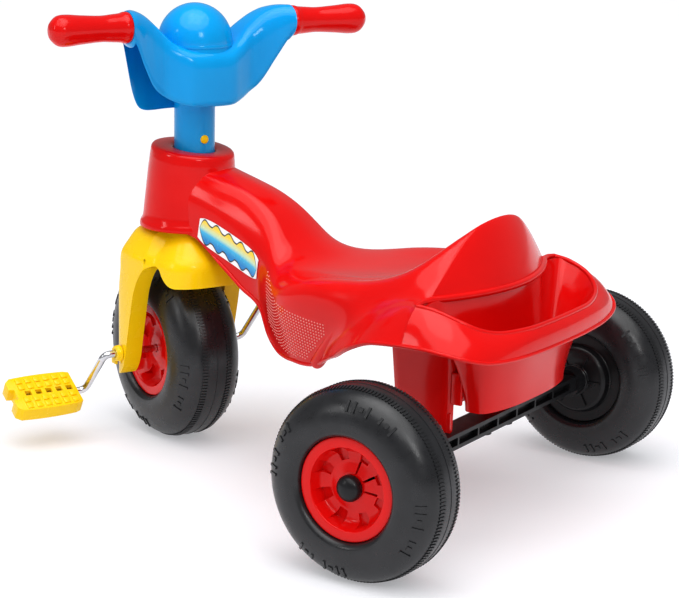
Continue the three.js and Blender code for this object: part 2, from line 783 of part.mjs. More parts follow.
function handlebar() {
  const outer = bar(0, GRIP_FROM - GAP, 0, 16);
  const inner = bar(WALL, GRIP_FROM - 16, 40, 16);
  const dome = turned(domeProfile(DOME_R, DOME_BASE, DOME_TOP, 6), 32);
  const hollow = turned(domeProfile(DOME_R - WALL, DOME_BASE, DOME_TOP - WALL, 6), 32);
  const column = post(COLUMN_R, COLUMN_BOTTOM, DOME_TOP - 9, 28);
  const bore = post(STEM_R + GAP, COLUMN_BOTTOM - 1, DOME_BASE - 10, 28);
  const hole = peg(BUTTON_R + GAP, 10, 30, 14).rotate([0, 0, -90]);
  const spot = hole.rotate([0, 0, (BUTTON_ANGLE * 180) / Math.PI]);
  const spigots = [-1, 1].map((s) => spigot(s, SPIGOT_R, GRIP_TO - 30, 16));
  const shell = less(outer.add(dome), [inner, hollow]);
  const made = shell.add(column).subtract(bore).subtract(moved(spot, 0, 0, BUTTON_Z));
  return largest(made.add(join(spigots)));
}

const SPIGOT_R = 9;

// Round bar along one grip: its line sweeps back from the collar to the tip.
function spigot(side, r, to, from) {
  const a = GRIP_FROM - from;
  const rings = [a, to].map((d) => {
    const back = GRIP_BACK + (GRIP_SWEEP * (d - GRIP_FROM)) / (GRIP_TO - GRIP_FROM);
    return Array.from({ length: 10 }, (_, k) => {
      const t = (2 * Math.PI * k) / 10;
      return [-back + r * Math.cos(t), side * d, GRIP_Z + r * Math.sin(t)];
    });
  });
  return loft(rings);
}

// Grip radius along its length from the collar, 0 to 1, as a share of the bulb.
const GRIP = [
  [0, 1],
  [0.06, 1],
  [0.1, 0.93],
  [0.35, 0.83],
  [0.6, 0.91],
  [0.8, 1],
  [0.9, 0.93],
  [0.97, 0.62],
  [1, 0.25],
];

function grip(side) {
  const stops = [0, 0.07, 0.11, 0.24, 0.36, 0.52, 0.68, 0.8, 0.88, 0.94, 0.98, 1];
  const rings = stops.map((t) => {
    const r = GRIP_BULB * read(GRIP, t)[0];
    const y = GRIP_FROM + (GRIP_TO - GRIP_FROM) * t;
    return Array.from({ length: 16 }, (_, k) => {
      const a = (2 * Math.PI * k) / 16;
      const back = GRIP_BACK + GRIP_SWEEP * t;
      return [-back + r * Math.cos(a), side * y, GRIP_Z + r * Math.sin(a)];
    });
  });
  return loft(rings).subtract(spigot(side, SPIGOT_R + GAP, GRIP_TO - 30 + GAP, 3));
}

// Yellow fork in the steering frame: crown under the head, legs beside the wheel, rear guard.
const LEG_IN = FRONT_W / 2 + 8;
const LEG_OUT = LEG_IN + 20;
const CROWN_TOP = HEAD_BOTTOM - 1.5;
const WHEEL_CLEAR = 6;

function legOutline() {
  const s = new THREE.Shape();
  s.moveTo(-60, 190);
  s.lineTo(-46, 189);
  s.quadraticCurveTo(-34, 190, -26, 206);
  s.quadraticCurveTo(-18, 213, -8, 205);
  s.quadraticCurveTo(6, 194, 14, 172);
  s.lineTo(28, AXLE_Z + 15);
  s.quadraticCurveTo(33, AXLE_Z - 16, 46, AXLE_Z - 24);
  s.quadraticCurveTo(55, AXLE_Z - 27, 60, AXLE_Z - 16);
  s.lineTo(60, AXLE_Z + 12);
  s.quadraticCurveTo(56, 160, 44, 196);
  s.lineTo(44, 256);
  s.lineTo(-60, 256);
  s.closePath();
  return s;
}

// Plan of the fork at one height: flat sides in front of the axis, narrower and rounded behind.
function forkRing(rear, front, half, behind, z, count = 28) {
  return Array.from({ length: count }, (_, k) => {
    const t = (2 * Math.PI * (k + 0.5)) / count;
    const c = Math.cos(t);
    const s = Math.sin(t);
    const n = c > 0 ? 6 : 3.2;
    const reach = c > 0 ? front : rear;
    const x = reach * Math.abs(c) ** (2 / n);
    const step = THREE.MathUtils.smoothstep(c, -0.14, 0.02);
    const wide = behind + (half - behind) * step;
    return [x, wide * Math.sign(s) * Math.abs(s) ** (2 / n), z];
  });
}

// Hood of the fork, drawn in by inset on every side: [rear, front, half, half behind, height].
const HOOD = [
  [-61, 66, LEG_OUT, 57.5, AXLE_Z - 40],
  [-61, 66, LEG_OUT, 57.5, 206],
  [-59, 61, LEG_OUT - 1, 55, 216],
  [-52, 54, LEG_OUT - 6, 48, 226],
  [-40, 48, LEG_OUT - 15, 38, CROWN_TOP - 5],
  [-37, 43, LEG_OUT - 22, 36, CROWN_TOP],
];

function forkHood(inset) {
  return loft(
    HOOD.map(([rear, front, half, behind, z], i) =>
      forkRing(rear + inset, front - inset, half - inset, behind - inset, z - (i > 1 ? inset : 0)),
    ),
  );
}

function fork() {
  const sides = plate(legOutline(), -LEG_OUT - 5, LEG_OUT + 5);
  const between = block(-90, 90, -LEG_IN, LEG_IN, AXLE_Z - 50, 204);
  const arch = peg(FRONT_R + WHEEL_CLEAR, -LEG_IN, LEG_IN, 36);
  const inside = forkHood(WALL).intersect(block(-70, -6, -90, 90, 50, 240));
  const skirt = forkHood(0).subtract(inside).intersect(block(-70, -5, -90, 90, 150, 250));
  const legs = less(forkHood(0).intersect(block(-8, 90, -90, 90, AXLE_Z - 40, 250)), [
    between,
    moved(arch, TRAIL, 0, AXLE_Z),
  ]);
  const shell = skirt.add(legs).intersect(sides);
  const stem = post(STEM_R, CROWN_TOP - 10, STEM_TOP, 28);
  const seat = post(38, CROWN_TOP - 8, CROWN_TOP + 12, 28);
  const bores = peg(AXLE_R + RUN, -90, 90, 16);
  const spot = peg(BUTTON_R + GAP, 6, 30, 14).rotate([0, 0, -90]);
  const pocket = moved(spot.rotate([0, 0, (BUTTON_ANGLE * 180) / Math.PI]), 0, 0, BUTTON_Z);
  return less(join([shell, seat, stem]), [moved(bores, TRAIL, 0, AXLE_Z), pocket]);
}

// Snap button that stands in the hole of the column.
function lockButton() {
  const pin = peg(BUTTON_R, 6 + GAP, COLUMN_R + 1.6, 14).rotate([0, 0, -90]);
  return moved(pin.rotate([0, 0, (BUTTON_ANGLE * 180) / Math.PI]), 0, 0, BUTTON_Z);
}

// Bent rod: axle, two opposite arms, two spindles.
function crankPath() {
  const d = [Math.cos(CRANK_DROP), -Math.sin(CRANK_DROP)];
  const at = (y, r, s) => new THREE.Vector3(s * r * d[0], s * y, s * r * d[1]);
  const path = new THREE.CurvePath();
  const end = PEDAL_END;
  const corners = [
    at(end, CRANK_R, 1),
    at(ARM_TO, CRANK_R, 1),
    at(ARM_FROM, 0, 1),
    at(ARM_FROM, 0, -1),
    at(ARM_TO, CRANK_R, -1),
    at(end, CRANK_R, -1),
  ];
  let from = corners[0];
  for (let i = 1; i < corners.length - 1; i++) {
    const c = corners[i];
    const a = from.clone().sub(c).normalize().multiplyScalar(CRANK_BEND).add(c);
    const b = corners[i + 1].clone().sub(c).normalize().multiplyScalar(CRANK_BEND).add(c);
    path.add(new THREE.LineCurve3(from, a));
    path.add(new THREE.QuadraticBezierCurve3(a, c, b));
    from = b;
  }
  path.add(new THREE.LineCurve3(from, corners[corners.length - 1]));
  return path;
}

const PEDAL_START = ARM_TO + CRANK_BEND + 5;
const PEDAL_END = PEDAL_START + PEDAL_LONG - 12;

function crankRod() {
  const path = crankPath();
  const points = [];
  for (const c of path.curves) {
    const n = c.isLineCurve3 ? 1 : 3;
    for (let k = 0; k < n; k++) points.push(c.getPoint(k / n));
  }
  points.push(path.curves[path.curves.length - 1].getPoint(1));
  const d = new THREE.Vector3(Math.cos(CRANK_DROP), 0, -Math.sin(CRANK_DROP));
  const side = new THREE.Vector3(0, 1, 0).cross(d);
  const rings = points.map((p, i) => {
    const a = points[Math.max(0, i - 1)];
    const b = points[Math.min(points.length - 1, i + 1)];
    const t = b.clone().sub(a).normalize();
    const u = side.clone().cross(t).normalize();
    return Array.from({ length: 10 }, (_, k) => {
      const w = (2 * Math.PI * k) / 10;
      return p
        .clone()
        .addScaledVector(u, AXLE_R * Math.cos(w))
        .addScaledVector(side, AXLE_R * Math.sin(w))
        .toArray();
    });
  });
  return loft(rings);
}

// Pedal about its own spindle: long in Y, wide in X, spindle in the middle.
function pedal() {
  const half = PEDAL_WIDE / 2;
  const slim = half * 0.86;
  const t = PEDAL_THICK / 2;
  const s = new THREE.Shape();
  s.moveTo(-slim, 0);
  s.lineTo(-slim - 2, 6);
  s.quadraticCurveTo(-half - 1, PEDAL_LONG / 2, -slim - 2, PEDAL_LONG - 6);
  s.lineTo(-slim + 3, PEDAL_LONG);
  s.lineTo(-8, PEDAL_LONG);
  s.lineTo(-7, PEDAL_LONG - 6);
  s.lineTo(7, PEDAL_LONG - 6);
  s.lineTo(8, PEDAL_LONG);
  s.lineTo(slim - 3, PEDAL_LONG);
  s.lineTo(slim + 2, PEDAL_LONG - 6);
  s.quadraticCurveTo(half + 1, PEDAL_LONG / 2, slim + 2, 6);
  s.lineTo(slim, 0);
  s.closePath();
  const g = new THREE.ExtrudeGeometry(s, { depth: PEDAL_THICK, bevelEnabled: false, curveSegments: 4 });
  g.translate(0, 0, -t);
  let body = solid(g);
  const blocks = [];
  const cuts = [];
  const pitch = (PEDAL_LONG - 16) / 5;
  for (let i = 0; i < 5; i++) {
    const y = 2 + pitch * (i + 0.5);
    cuts.push(block(-3.4, 3.4, y - 3.6, y + 3.6, -t - 3, t + 3));
    for (const x of [-16, 16]) {
      blocks.push(block(x - 8, x + 8, y - 4.2, y + 4.2, t - 1, t + 1.6));
      blocks.push(block(x - 8, x + 8, y - 4.2, y + 4.2, -t - 1.6, -t + 1));
    }
  }
  body = join([body, ...blocks]);
  return less(body, [...cuts, peg(AXLE_R + RUN, -5, PEDAL_LONG - 12 + GAP, 14)]);
}

function spindle(side, name) {
  const g = new THREE.Group();
  const r = side * CRANK_R;
  g.position.set(r * Math.cos(CRANK_DROP), side * PEDAL_START, -r * Math.sin(CRANK_DROP));
  const p = new THREE.Group();
  p.rotation.order = "YXZ";
  p.rotation.y = -PEDAL_TILT;
  if (side < 0) p.rotation.x = Math.PI;
  p.add(meshOf("pedal_" + name, pedal(), yellow()));
  g.add(p);
  return g;
}

// Clip that closes the bearing of a fork leg round the rod, with its tab.
function forkClip() {
  const y0 = LEG_OUT + GAP;
  const ring = wheelTurned(
    [
      [AXLE_R + RUN, y0],
      [9, y0],
      [8, y0 + 6],
      [AXLE_R + RUN, y0 + 6],
      [AXLE_R + RUN, y0],
    ],
    16,
  );
  return ring.add(block(4, 14, y0, y0 + 3, -14, -5));
}

function frontWheel() {
  const g = new THREE.Group();
  g.position.set(TRAIL, 0, AXLE_Z);
  const face = FRONT_W / 2 - RIM_SET_IN;
  g.add(meshOf("front_tyre", tyre(FRONT_R, FRONT_W, FRONT_RIM_R, SEGMENTS), black()));
  const hub = () => rim(FRONT_RIM_R, face, AXLE_R + GAP, SEGMENTS);
  g.add(meshOf("front_hub_left", hub(), red()));
  const other = meshOf("front_hub_right", hub(), red());
  other.rotation.z = Math.PI;
  g.add(other);
  g.add(meshOf("crank_rod", crankRod(), steel()));
  g.add(spindle(1, "left"), spindle(-1, "right"));
  return g;
}

function steering() {
  const g = new THREE.Group();
  g.position.set(WHEELBASE, 0, RAISE);
  g.rotation.z = STEER_REST;
  g.add(
    meshOf("handlebar", handlebar(), blue()),
    meshOf("grip_left", grip(1), red()),
    meshOf("grip_right", grip(-1), red()),
    meshOf("lock_button", lockButton(), yellow()),
    meshOf("steering_fork", fork(), yellow()),
  );
  const clipLeft = meshOf("fork_clip_left", forkClip(), yellow());
  const clipRight = meshOf("fork_clip_right", forkClip(), yellow());
  clipLeft.position.set(TRAIL, 0, AXLE_Z);
  clipRight.position.set(TRAIL, 0, AXLE_Z);
  clipRight.rotation.z = Math.PI;
  g.add(clipLeft, clipRight, frontWheel());
  return g;
}

// ---------------------------------------------------------------- assembly
function tricycle() {
  const g = new THREE.Group();
  g.name = "tricycle";
  const screws = screwSpots().map(([x, y], i) => {
    const m = meshOf("beam_screw_" + ["left", "right"][i], beamScrew(), steel());
    m.position.set(x, y, 0);
    return m;
  });
  const rod = meshOf("rear_axle_rod", peg(AXLE_R, -AXLE_HALF, AXLE_HALF, 14), steel());
  rod.position.z = REAR_R;
  g.add(
    meshOf("frame_body", frameBody(), red()),
    meshOf("sticker_left", sticker(1), paint(0x2f8fd0, 0.3)),
    meshOf("sticker_right", sticker(-1), paint(0x2f8fd0, 0.3)),
    meshOf("axle_beam", axleBeam(), black()),
    ...screws,
    rod,
    rearWheel(1, "left"),
    rearWheel(-1, "right"),
    axleEnds(1, "left"),
    axleEnds(-1, "right"),
    steering(),
  );
  return g;
}

const root = new THREE.Group();
const whole = tricycle();
root.add(whole);
const box = new THREE.Box3().setFromObject(whole, true);
whole.position.x = -(box.min.x + box.max.x) / 2;
export default root;
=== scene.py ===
# Looks for the children's tricycle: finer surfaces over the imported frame, materials, light and camera.
import math

import bmesh
import bpy
import numpy as np
from mathutils import Matrix, Vector
from mathutils.bvhtree import BVHTree


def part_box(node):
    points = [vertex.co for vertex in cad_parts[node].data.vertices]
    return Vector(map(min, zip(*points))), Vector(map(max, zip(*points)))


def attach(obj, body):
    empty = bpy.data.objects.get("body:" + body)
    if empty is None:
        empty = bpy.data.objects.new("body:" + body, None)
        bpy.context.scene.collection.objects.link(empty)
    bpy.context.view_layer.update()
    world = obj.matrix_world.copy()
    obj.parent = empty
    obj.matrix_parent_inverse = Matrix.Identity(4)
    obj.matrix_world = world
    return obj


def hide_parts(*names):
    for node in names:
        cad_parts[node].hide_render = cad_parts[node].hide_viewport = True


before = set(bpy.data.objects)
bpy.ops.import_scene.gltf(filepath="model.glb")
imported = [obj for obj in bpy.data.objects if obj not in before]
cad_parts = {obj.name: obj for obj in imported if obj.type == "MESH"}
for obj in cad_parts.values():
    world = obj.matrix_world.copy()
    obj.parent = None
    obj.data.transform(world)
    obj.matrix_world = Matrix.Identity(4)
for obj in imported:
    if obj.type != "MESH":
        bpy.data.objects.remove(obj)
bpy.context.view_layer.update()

# ------------------------------------------------------------------ sizes, mm
WHEELBASE, TRAIL, STEER_REST = 372, 44, math.radians(-24)
TRACK, REAR_R, REAR_W, FRONT_R, FRONT_W = 466, 92.5, 75, 100, 80
REAR_RIM_R, FRONT_RIM_R, RIM_SET_IN, RIM_LIP = 50, 52.5, 6.4, 8
RIM_DEEP, RIM_DISH, TYRE_POWER, HUB_OUT = 20, 13.5, 2.7, 13
WALL, GAP, RUN = 3, 0.35, 0.6
HEAD_TOP, HEAD_BOTTOM, HEAD_R_TOP, HEAD_R_BOTTOM = 332, 246, 45, 51
LEAN_TOP, LEAN_BOTTOM, HEAD_RISE = 2, 6, 0.13
COLUMN_R, COLUMN_BOTTOM, BUTTON_Z, BUTTON_R = 22, 262, 343.5, 4.6
AXLE_R, CRANK_R, CRANK_DROP, CRANK_BEND = 4, 56, math.radians(56), 8
ARM_FROM, ARM_TO = 87, 96
PEDAL_LONG, PEDAL_WIDE, PEDAL_THICK, PEDAL_TILT = 77, 52, 16, math.radians(30)
PEDAL_START = ARM_TO + CRANK_BEND + 5
GRIP_FROM, GRIP_TO, GRIP_BACK, GRIP_SWEEP, GRIP_Z, GRIP_BULB = 97.5, 187.5, 33, 6.4, 467.5, 16.2
DOME_R, DOME_BASE, DOME_TOP = 40, 446, 487
TUB_FLOOR, BEAM_TOP = 128, 103
LEG_IN = FRONT_W / 2 + 8
LEG_OUT = LEG_IN + 20
CROWN_TOP = HEAD_BOTTOM - 1.5

low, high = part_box("rear_axle_rod")
MM = Matrix.Translation(((low.x + high.x) / 2, 0, 0)) @ Matrix.Scale(0.001, 4)
STEER = MM @ Matrix.Translation((WHEELBASE, 0, 0)) @ Matrix.Rotation(STEER_REST, 4, "Z")
FRONT = STEER @ Matrix.Translation((TRAIL, 0, FRONT_R))


# ------------------------------------------------------------------ shape helpers
def read(rows, t):
    """Columns of a table at t, on a smooth curve through its rows."""
    n = len(rows)
    up = rows[0][0] < rows[-1][0]
    i = 0
    while i < n - 2 and (rows[i + 1][0] < t if up else rows[i + 1][0] > t):
        i += 1
    h = rows[i + 1][0] - rows[i][0]
    s = min(1, max(0, (t - rows[i][0]) / h))

    def slope(k, c):
        a, b = rows[max(0, k - 1)], rows[min(n - 1, k + 1)]
        return (b[c] - a[c]) / (b[0] - a[0])

    out = []
    for c in range(1, len(rows[0])):
        p, q = rows[i][c], rows[i + 1][c]
        m0, m1 = slope(i, c) * h, slope(i + 1, c) * h
        d = q - p
        out.append(p + m0 * s + (3 * d - 2 * m0 - m1) * s * s + (m0 + m1 - 2 * d) * s**3)
    return out


def through(points, count):
    """A smooth line through the points, count + 1 points long."""
    rows = [[i, *p] for i, p in enumerate(points)]
    last = len(points) - 1
    return [read(rows, last * k / count) for k in range(count + 1)]


def loft(rings, loop=False):
    """Skin over rings of equal count, capped at the ends unless they loop."""
    n = len(rings[0])
    verts = [tuple(p) for ring in rings for p in ring]
    faces = []
    m = len(rings)
    for i in range(m if loop else m - 1):
        for j in range(n):
            a, b = i * n + j, i * n + (j + 1) % n
            c, d = ((i + 1) % m) * n + (j + 1) % n, ((i + 1) % m) * n + j
            faces.append((a, b, c, d))
    if not loop:
        faces.append(tuple(range(n - 1, -1, -1)))
        faces.append(tuple(range((m - 1) * n, m * n)))
    return verts, faces


def sheet(grid, thick, ring=False, closed=False):
    """A grid of points given a thickness; ring joins its sides, closed caps its last row."""
    rows, cols = len(grid), len(grid[0])

    def at(i, j):
        r = min(rows - 1, max(0, i))
        c = (j + cols) % cols if ring else min(cols - 1, max(0, j))
        return Vector(grid[r][c])

    under = []
    for i in range(rows):
        line = []
        for j in range(cols):
            n = (at(i + 1, j) - at(i - 1, j)).cross(at(i, j + 1) - at(i, j - 1))
            n.normalize()
            line.append(tuple(Vector(grid[i][j]) - n * thick))
        under.append(line)
    verts = [tuple(p) for row in grid for p in row] + [p for row in under for p in row]
    half = rows * cols
    faces = []
    wide = cols if ring else cols - 1
    for i in range(rows - 1):
        for j in range(wide):
            a, b = i * cols + j, i * cols + (j + 1) % cols
            faces.append((a, a + cols, b + cols, b))
            faces.append((half + a, half + b, half + b + cols, half + a + cols))
    end = (rows - 1) * cols
    for j in range(wide):
        b = (j + 1) % cols
        faces.append((j, b, half + b, half + j))
        if not closed:
            faces.append((end + b, end + j, half + end + j, half + end + b))
    if closed:
        faces.append(tuple(end + j for j in range(cols)))
        faces.append(tuple(half + end + j for j in reversed(range(cols))))
    if not ring:
        for i in range(rows - 1):
            a = i * cols
            faces.append((a + cols, a, half + a, half + a + cols))
            faces.append((a + cols - 1, a + 2 * cols - 1, half + a + 2 * cols - 1, half + a + cols - 1))
    return verts, faces


def turned(profile, axis="Z", segments=96):
    """Closed profile of (radius, height) turned about an axis; points on the axis close it."""
    rings = []
    for r, h in profile:
        r = max(r, 1e-3)
        ring = []
        for k in range(segments):
            a = 2 * math.pi * k / segments
            x, y = r * math.cos(a), r * math.sin(a)
            ring.append((x, y, h) if axis == "Z" else (x, h, y))
        rings.append(ring)
    hollow = profile[0] == profile[-1]
    return loft(rings[:-1], loop=True) if hollow else loft(rings)


def arc(r, h, radius, a0, a1, steps=5):
    """Points of a small arc in a profile, angles in degrees."""
    return [
        (r + radius * math.cos(math.radians(a0 + (a1 - a0) * i / steps)),
         h + radius * math.sin(math.radians(a0 + (a1 - a0) * i / steps)))
        for i in range(steps + 1)
    ]


def box(x0, x1, y0, y1, z0, z1):
    v = [(x, y, z) for x in (x0, x1) for y in (y0, y1) for z in (z0, z1)]
    return v, [(0, 1, 3, 2), (4, 6, 7, 5), (0, 4, 5, 1), (2, 3, 7, 6), (0, 2, 6, 4), (1, 5, 7, 3)]


def prism(outline, y0, y1):
    n = len(outline)
    v = [(x, y0, z) for x, z in outline] + [(x, y1, z) for x, z in outline]
    f = [(i, (i + 1) % n, n + (i + 1) % n, n + i) for i in range(n)]
    return v, f + [tuple(reversed(range(n))), tuple(range(n, 2 * n))]


def tube(path, radii, sides=16):
    """Tube along points; radii is one number or one per point."""
    pts = [Vector(p) for p in path]
    radii = radii if hasattr(radii, "__len__") else [radii] * len(pts)
    side = None
    rings = []
    for i, p in enumerate(pts):
        t = (pts[min(i + 1, len(pts) - 1)] - pts[max(i - 1, 0)]).normalized()
        ref = side if side is not None else (Vector((0, 0, 1)) if abs(t.z) < 0.9 else Vector((1, 0, 0)))
        u = t.cross(ref).cross(t).normalized()
        side = u
        w = t.cross(u)
        rings.append([
            tuple(p + radii[i] * (u * math.cos(a) + w * math.sin(a)))
            for a in (2 * math.pi * k / sides for k in range(sides))
        ])
    return loft(rings)


def shifted(part, matrix):
    return [tuple(matrix @ Vector(v)) for v in part[0]], part[1]


def joined(parts):
    verts, faces = [], []
    for v, f in parts:
        n = len(verts)
        verts += [tuple(p) for p in v]
        faces += [tuple(i + n for i in q) for q in f]
    return verts, faces


def mesh_of(part, name="temp"):
    mesh = bpy.data.meshes.new(name)
    mesh.from_pydata([tuple(v) for v in part[0]], [], part[1])
    bm = bmesh.new()
    bm.from_mesh(mesh)
    bmesh.ops.remove_doubles(bm, verts=bm.verts, dist=1e-4)
    bmesh.ops.recalc_face_normals(bm, faces=bm.faces)
    bm.to_mesh(mesh)
    bm.free()
    return mesh


def modified(part, build):
    """The part with modifiers applied; build(object) adds them."""
    obj = bpy.data.objects.new("temp", mesh_of(part))
    bpy.context.scene.collection.objects.link(obj)
    others = build(obj) or []
    bpy.context.view_layer.update()
    done = bpy.data.meshes.new_from_object(obj.evaluated_get(bpy.context.evaluated_depsgraph_get()))
    out = [tuple(v.co) for v in done.vertices], [tuple(p.vertices) for p in done.polygons]
    for o in [obj, *others]:
        bpy.data.objects.remove(o)
    return out


def combined(a, b, operation):
    def build(obj):
        tool = bpy.data.objects.new("tool", mesh_of(b))
        bpy.context.scene.collection.objects.link(tool)
        tool.hide_render = True
        m = obj.modifiers.new("b", "BOOLEAN")
        m.operation, m.object, m.solver = operation, tool, "EXACT"
        return [tool]

    return modified(a, build)


def cut(a, *tools):
    for t in tools:
        a = combined(a, t, "DIFFERENCE")
    return a


def bevelled(part, width, segments=2, angle=32):
    def build(obj):
        m = obj.modifiers.new("bevel", "BEVEL")
        m.width, m.segments, m.limit_method = width, segments, "ANGLE"
        m.angle_limit = math.radians(angle)
        m.use_clamp_overlap = True

    return modified(part, build)


def piece(name, body, material, parts, nodes, where=MM, angle=38):
    """One visible piece made of parts; it rides on a body and stands for the CAD nodes."""
    parts = parts if isinstance(parts, list) else [parts]
    mesh = mesh_of(joined(parts), name)
    mesh.transform(where)
    mesh.materials.append(material)
    mesh.polygons.foreach_set("use_smooth", [True] * len(mesh.polygons))
    mesh.set_sharp_from_angle(angle=math.radians(angle))
    obj = bpy.data.objects.new(name, mesh)
    bpy.context.scene.collection.objects.link(obj)
    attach(obj, body)
    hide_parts(*nodes)
    return obj


# ------------------------------------------------------------------ materials
class Nodes:
    def __init__(self, name):
        self.mat = bpy.data.materials.new(name)
        self.mat.use_nodes = True
        self.tree = self.mat.node_tree
        self.bsdf = self.tree.nodes["Principled BSDF"]
        self.coords = self.add("ShaderNodeTexCoord")

    def add(self, kind, **props):
        n = self.tree.nodes.new(kind)
        for k, v in props.items():
            setattr(n, k, v)
        return n

    def link(self, a, b):
        self.tree.links.new(a, b)

    def noise(self, scale, detail=3.0, stretch=None):
        n = self.add("ShaderNodeTexNoise")
        n.inputs["Scale"].default_value = scale
        n.inputs["Detail"].default_value = detail
        if stretch:
            m = self.add("ShaderNodeMapping")
            m.inputs["Scale"].default_value = stretch
            self.link(self.coords.outputs["Object"], m.inputs["Vector"])
            self.link(m.outputs["Vector"], n.inputs["Vector"])
        else:
            self.link(self.coords.outputs["Object"], n.inputs["Vector"])
        return n.outputs["Fac"]

    def ramp(self, fac, stops):
        r = self.add("ShaderNodeValToRGB")
        e = r.color_ramp.elements
        while len(e) < len(stops):
            e.new(0.5)
        for item, (pos, col) in zip(e, stops):
            item.position, item.color = pos, (*col, 1)
        self.link(fac, r.inputs["Fac"])
        return r.outputs["Color"]

    def span(self, fac, low, high):
        m = self.add("ShaderNodeMapRange")
        m.inputs["From Min"].default_value = 0.3
        m.inputs["From Max"].default_value = 0.7
        m.inputs["To Min"].default_value = low
        m.inputs["To Max"].default_value = high
        self.link(fac, m.inputs["Value"])
        return m.outputs["Result"]

    def bump(self, height, strength, distance, after=None):
        b = self.add("ShaderNodeBump")
        b.inputs["Strength"].default_value = strength
        b.inputs["Distance"].default_value = distance
        self.link(height, b.inputs["Height"])
        if after:
            self.link(after, b.inputs["Normal"])
        return b.outputs["Normal"]

    def into(self, **sockets):
        for k, v in sockets.items():
            socket = self.bsdf.inputs[k.replace("_", " ")]
            if hasattr(v, "is_linked"):
                self.link(v, socket)
            else:
                socket.default_value = v
        return self.mat


def plastic(name, dark, light, rough=(0.12, 0.2), grain=0.015, coat=0.1):
    n = Nodes(name)
    color = n.ramp(n.noise(9, 4), [(0.3, dark), (0.7, light)])
    wave = n.bump(n.noise(28, 2), 0.12, 0.0005)
    fine = n.bump(n.noise(2600, 2), grain, 0.00012, wave)
    return n.into(
        Base_Color=color, Roughness=n.span(n.noise(70, 4), *rough), Normal=fine,
        Coat_Weight=coat, Coat_Roughness=0.05, Specular_IOR_Level=0.28,
    )


def tyre_plastic():
    n = Nodes("tyre_charcoal")
    color = n.ramp(n.noise(45, 6), [(0.3, (0.0085, 0.009, 0.0105)), (0.72, (0.016, 0.0165, 0.019))])
    fine = n.bump(n.noise(1500, 4), 0.22, 0.0002, n.bump(n.noise(60, 3), 0.2, 0.0005))
    return n.into(Base_Color=color, Roughness=n.span(n.noise(120, 5), 0.25, 0.36), Normal=fine,
                  Specular_IOR_Level=0.62)


def metal():
    n = Nodes("plated_steel")
    color = n.ramp(n.noise(60, 4), [(0.3, (0.66, 0.67, 0.69)), (0.7, (0.80, 0.81, 0.83))])
    lines = n.noise(500, 4, (1, 1, 0.12))
    return n.into(Base_Color=color, Metallic=1.0, Roughness=n.span(lines, 0.12, 0.24),
                  Normal=n.bump(lines, 0.05, 0.0001))


def sticker_film():
    """Generic print with no letters: a wavy white and blue-to-yellow band inside a dark edge."""
    n = Nodes("sticker_print")
    uv = n.add("ShaderNodeSeparateXYZ")
    n.link(n.coords.outputs["UV"], uv.inputs["Vector"])
    u, v = uv.outputs["X"], uv.outputs["Y"]

    def calc(kind, a, b=None):
        m = n.add("ShaderNodeMath", operation=kind)
        for i, value in enumerate((a, b)):
            if value is None:
                continue
            if hasattr(value, "is_linked"):
                n.link(value, m.inputs[i])
            else:
                m.inputs[i].default_value = value
        return m.outputs["Value"]

    wave = calc("SINE", calc("MULTIPLY", u, 31.4))
    middle = calc("ADD", 0.5, calc("MULTIPLY", wave, 0.07))
    off = calc("ABSOLUTE", calc("SUBTRACT", v, middle))
    pinch = calc("MULTIPLY", calc("ABSOLUTE", calc("SINE", calc("MULTIPLY", u, 15.7))), 0.12)
    edge = calc("MULTIPLY", calc("ABSOLUTE", calc("SUBTRACT", u, 0.5)), 2.0)
    ends = calc("MULTIPLY", calc("POWER", edge, 14.0), 0.5)
    depth = calc("ADD", calc("SUBTRACT", off, pinch), ends)
    ink = n.ramp(v, [(0.2, (0.0, 0.24, 0.62)), (0.45, (0.05, 0.50, 0.80)), (0.58, (0.62, 0.80, 0.55)),
                     (0.8, (1.0, 0.70, 0.05))])
    shade = n.ramp(depth, [(0.262, (1, 1, 1)), (0.27, (0, 0, 0))])
    white = n.ramp(depth, [(0.315, (0.01, 0.012, 0.02)), (0.325, (0.92, 0.92, 0.93))])
    mix = n.add("ShaderNodeMix", data_type="RGBA")
    n.link(shade, mix.inputs["Factor"])
    n.link(white, mix.inputs["A"])
    n.link(ink, mix.inputs["B"])
    return n.into(Base_Color=mix.outputs["Result"], Roughness=n.span(n.noise(200, 3), 0.2, 0.3),
                  Coat_Weight=0.4, Normal=n.bump(n.noise(900, 2), 0.05, 0.0001))


RED = plastic("red_plastic", (0.68, 0.003, 0.003), (0.77, 0.005, 0.004))
# The dots' paler pinkish red is a painted highlight: it stands in for the light that each small raised pimple
# catches.
DOTS_PAINTED_HIGHLIGHT = plastic("red_dots_painted_highlight", (0.86, 0.30, 0.27), (0.95, 0.42, 0.38))
BLUE = plastic("blue_plastic", (0.0, 0.34, 0.76), (0.0, 0.40, 0.84))
YELLOW = plastic("yellow_plastic", (0.97, 0.63, 0.0), (1.0, 0.68, 0.003), (0.2, 0.3))
BLACK = plastic("black_plastic", (0.006, 0.006, 0.007), (0.014, 0.014, 0.016), (0.26, 0.4), 0.12, 0.1)
TYRE = tyre_plastic()
STEEL = metal()
STICKER = sticker_film()

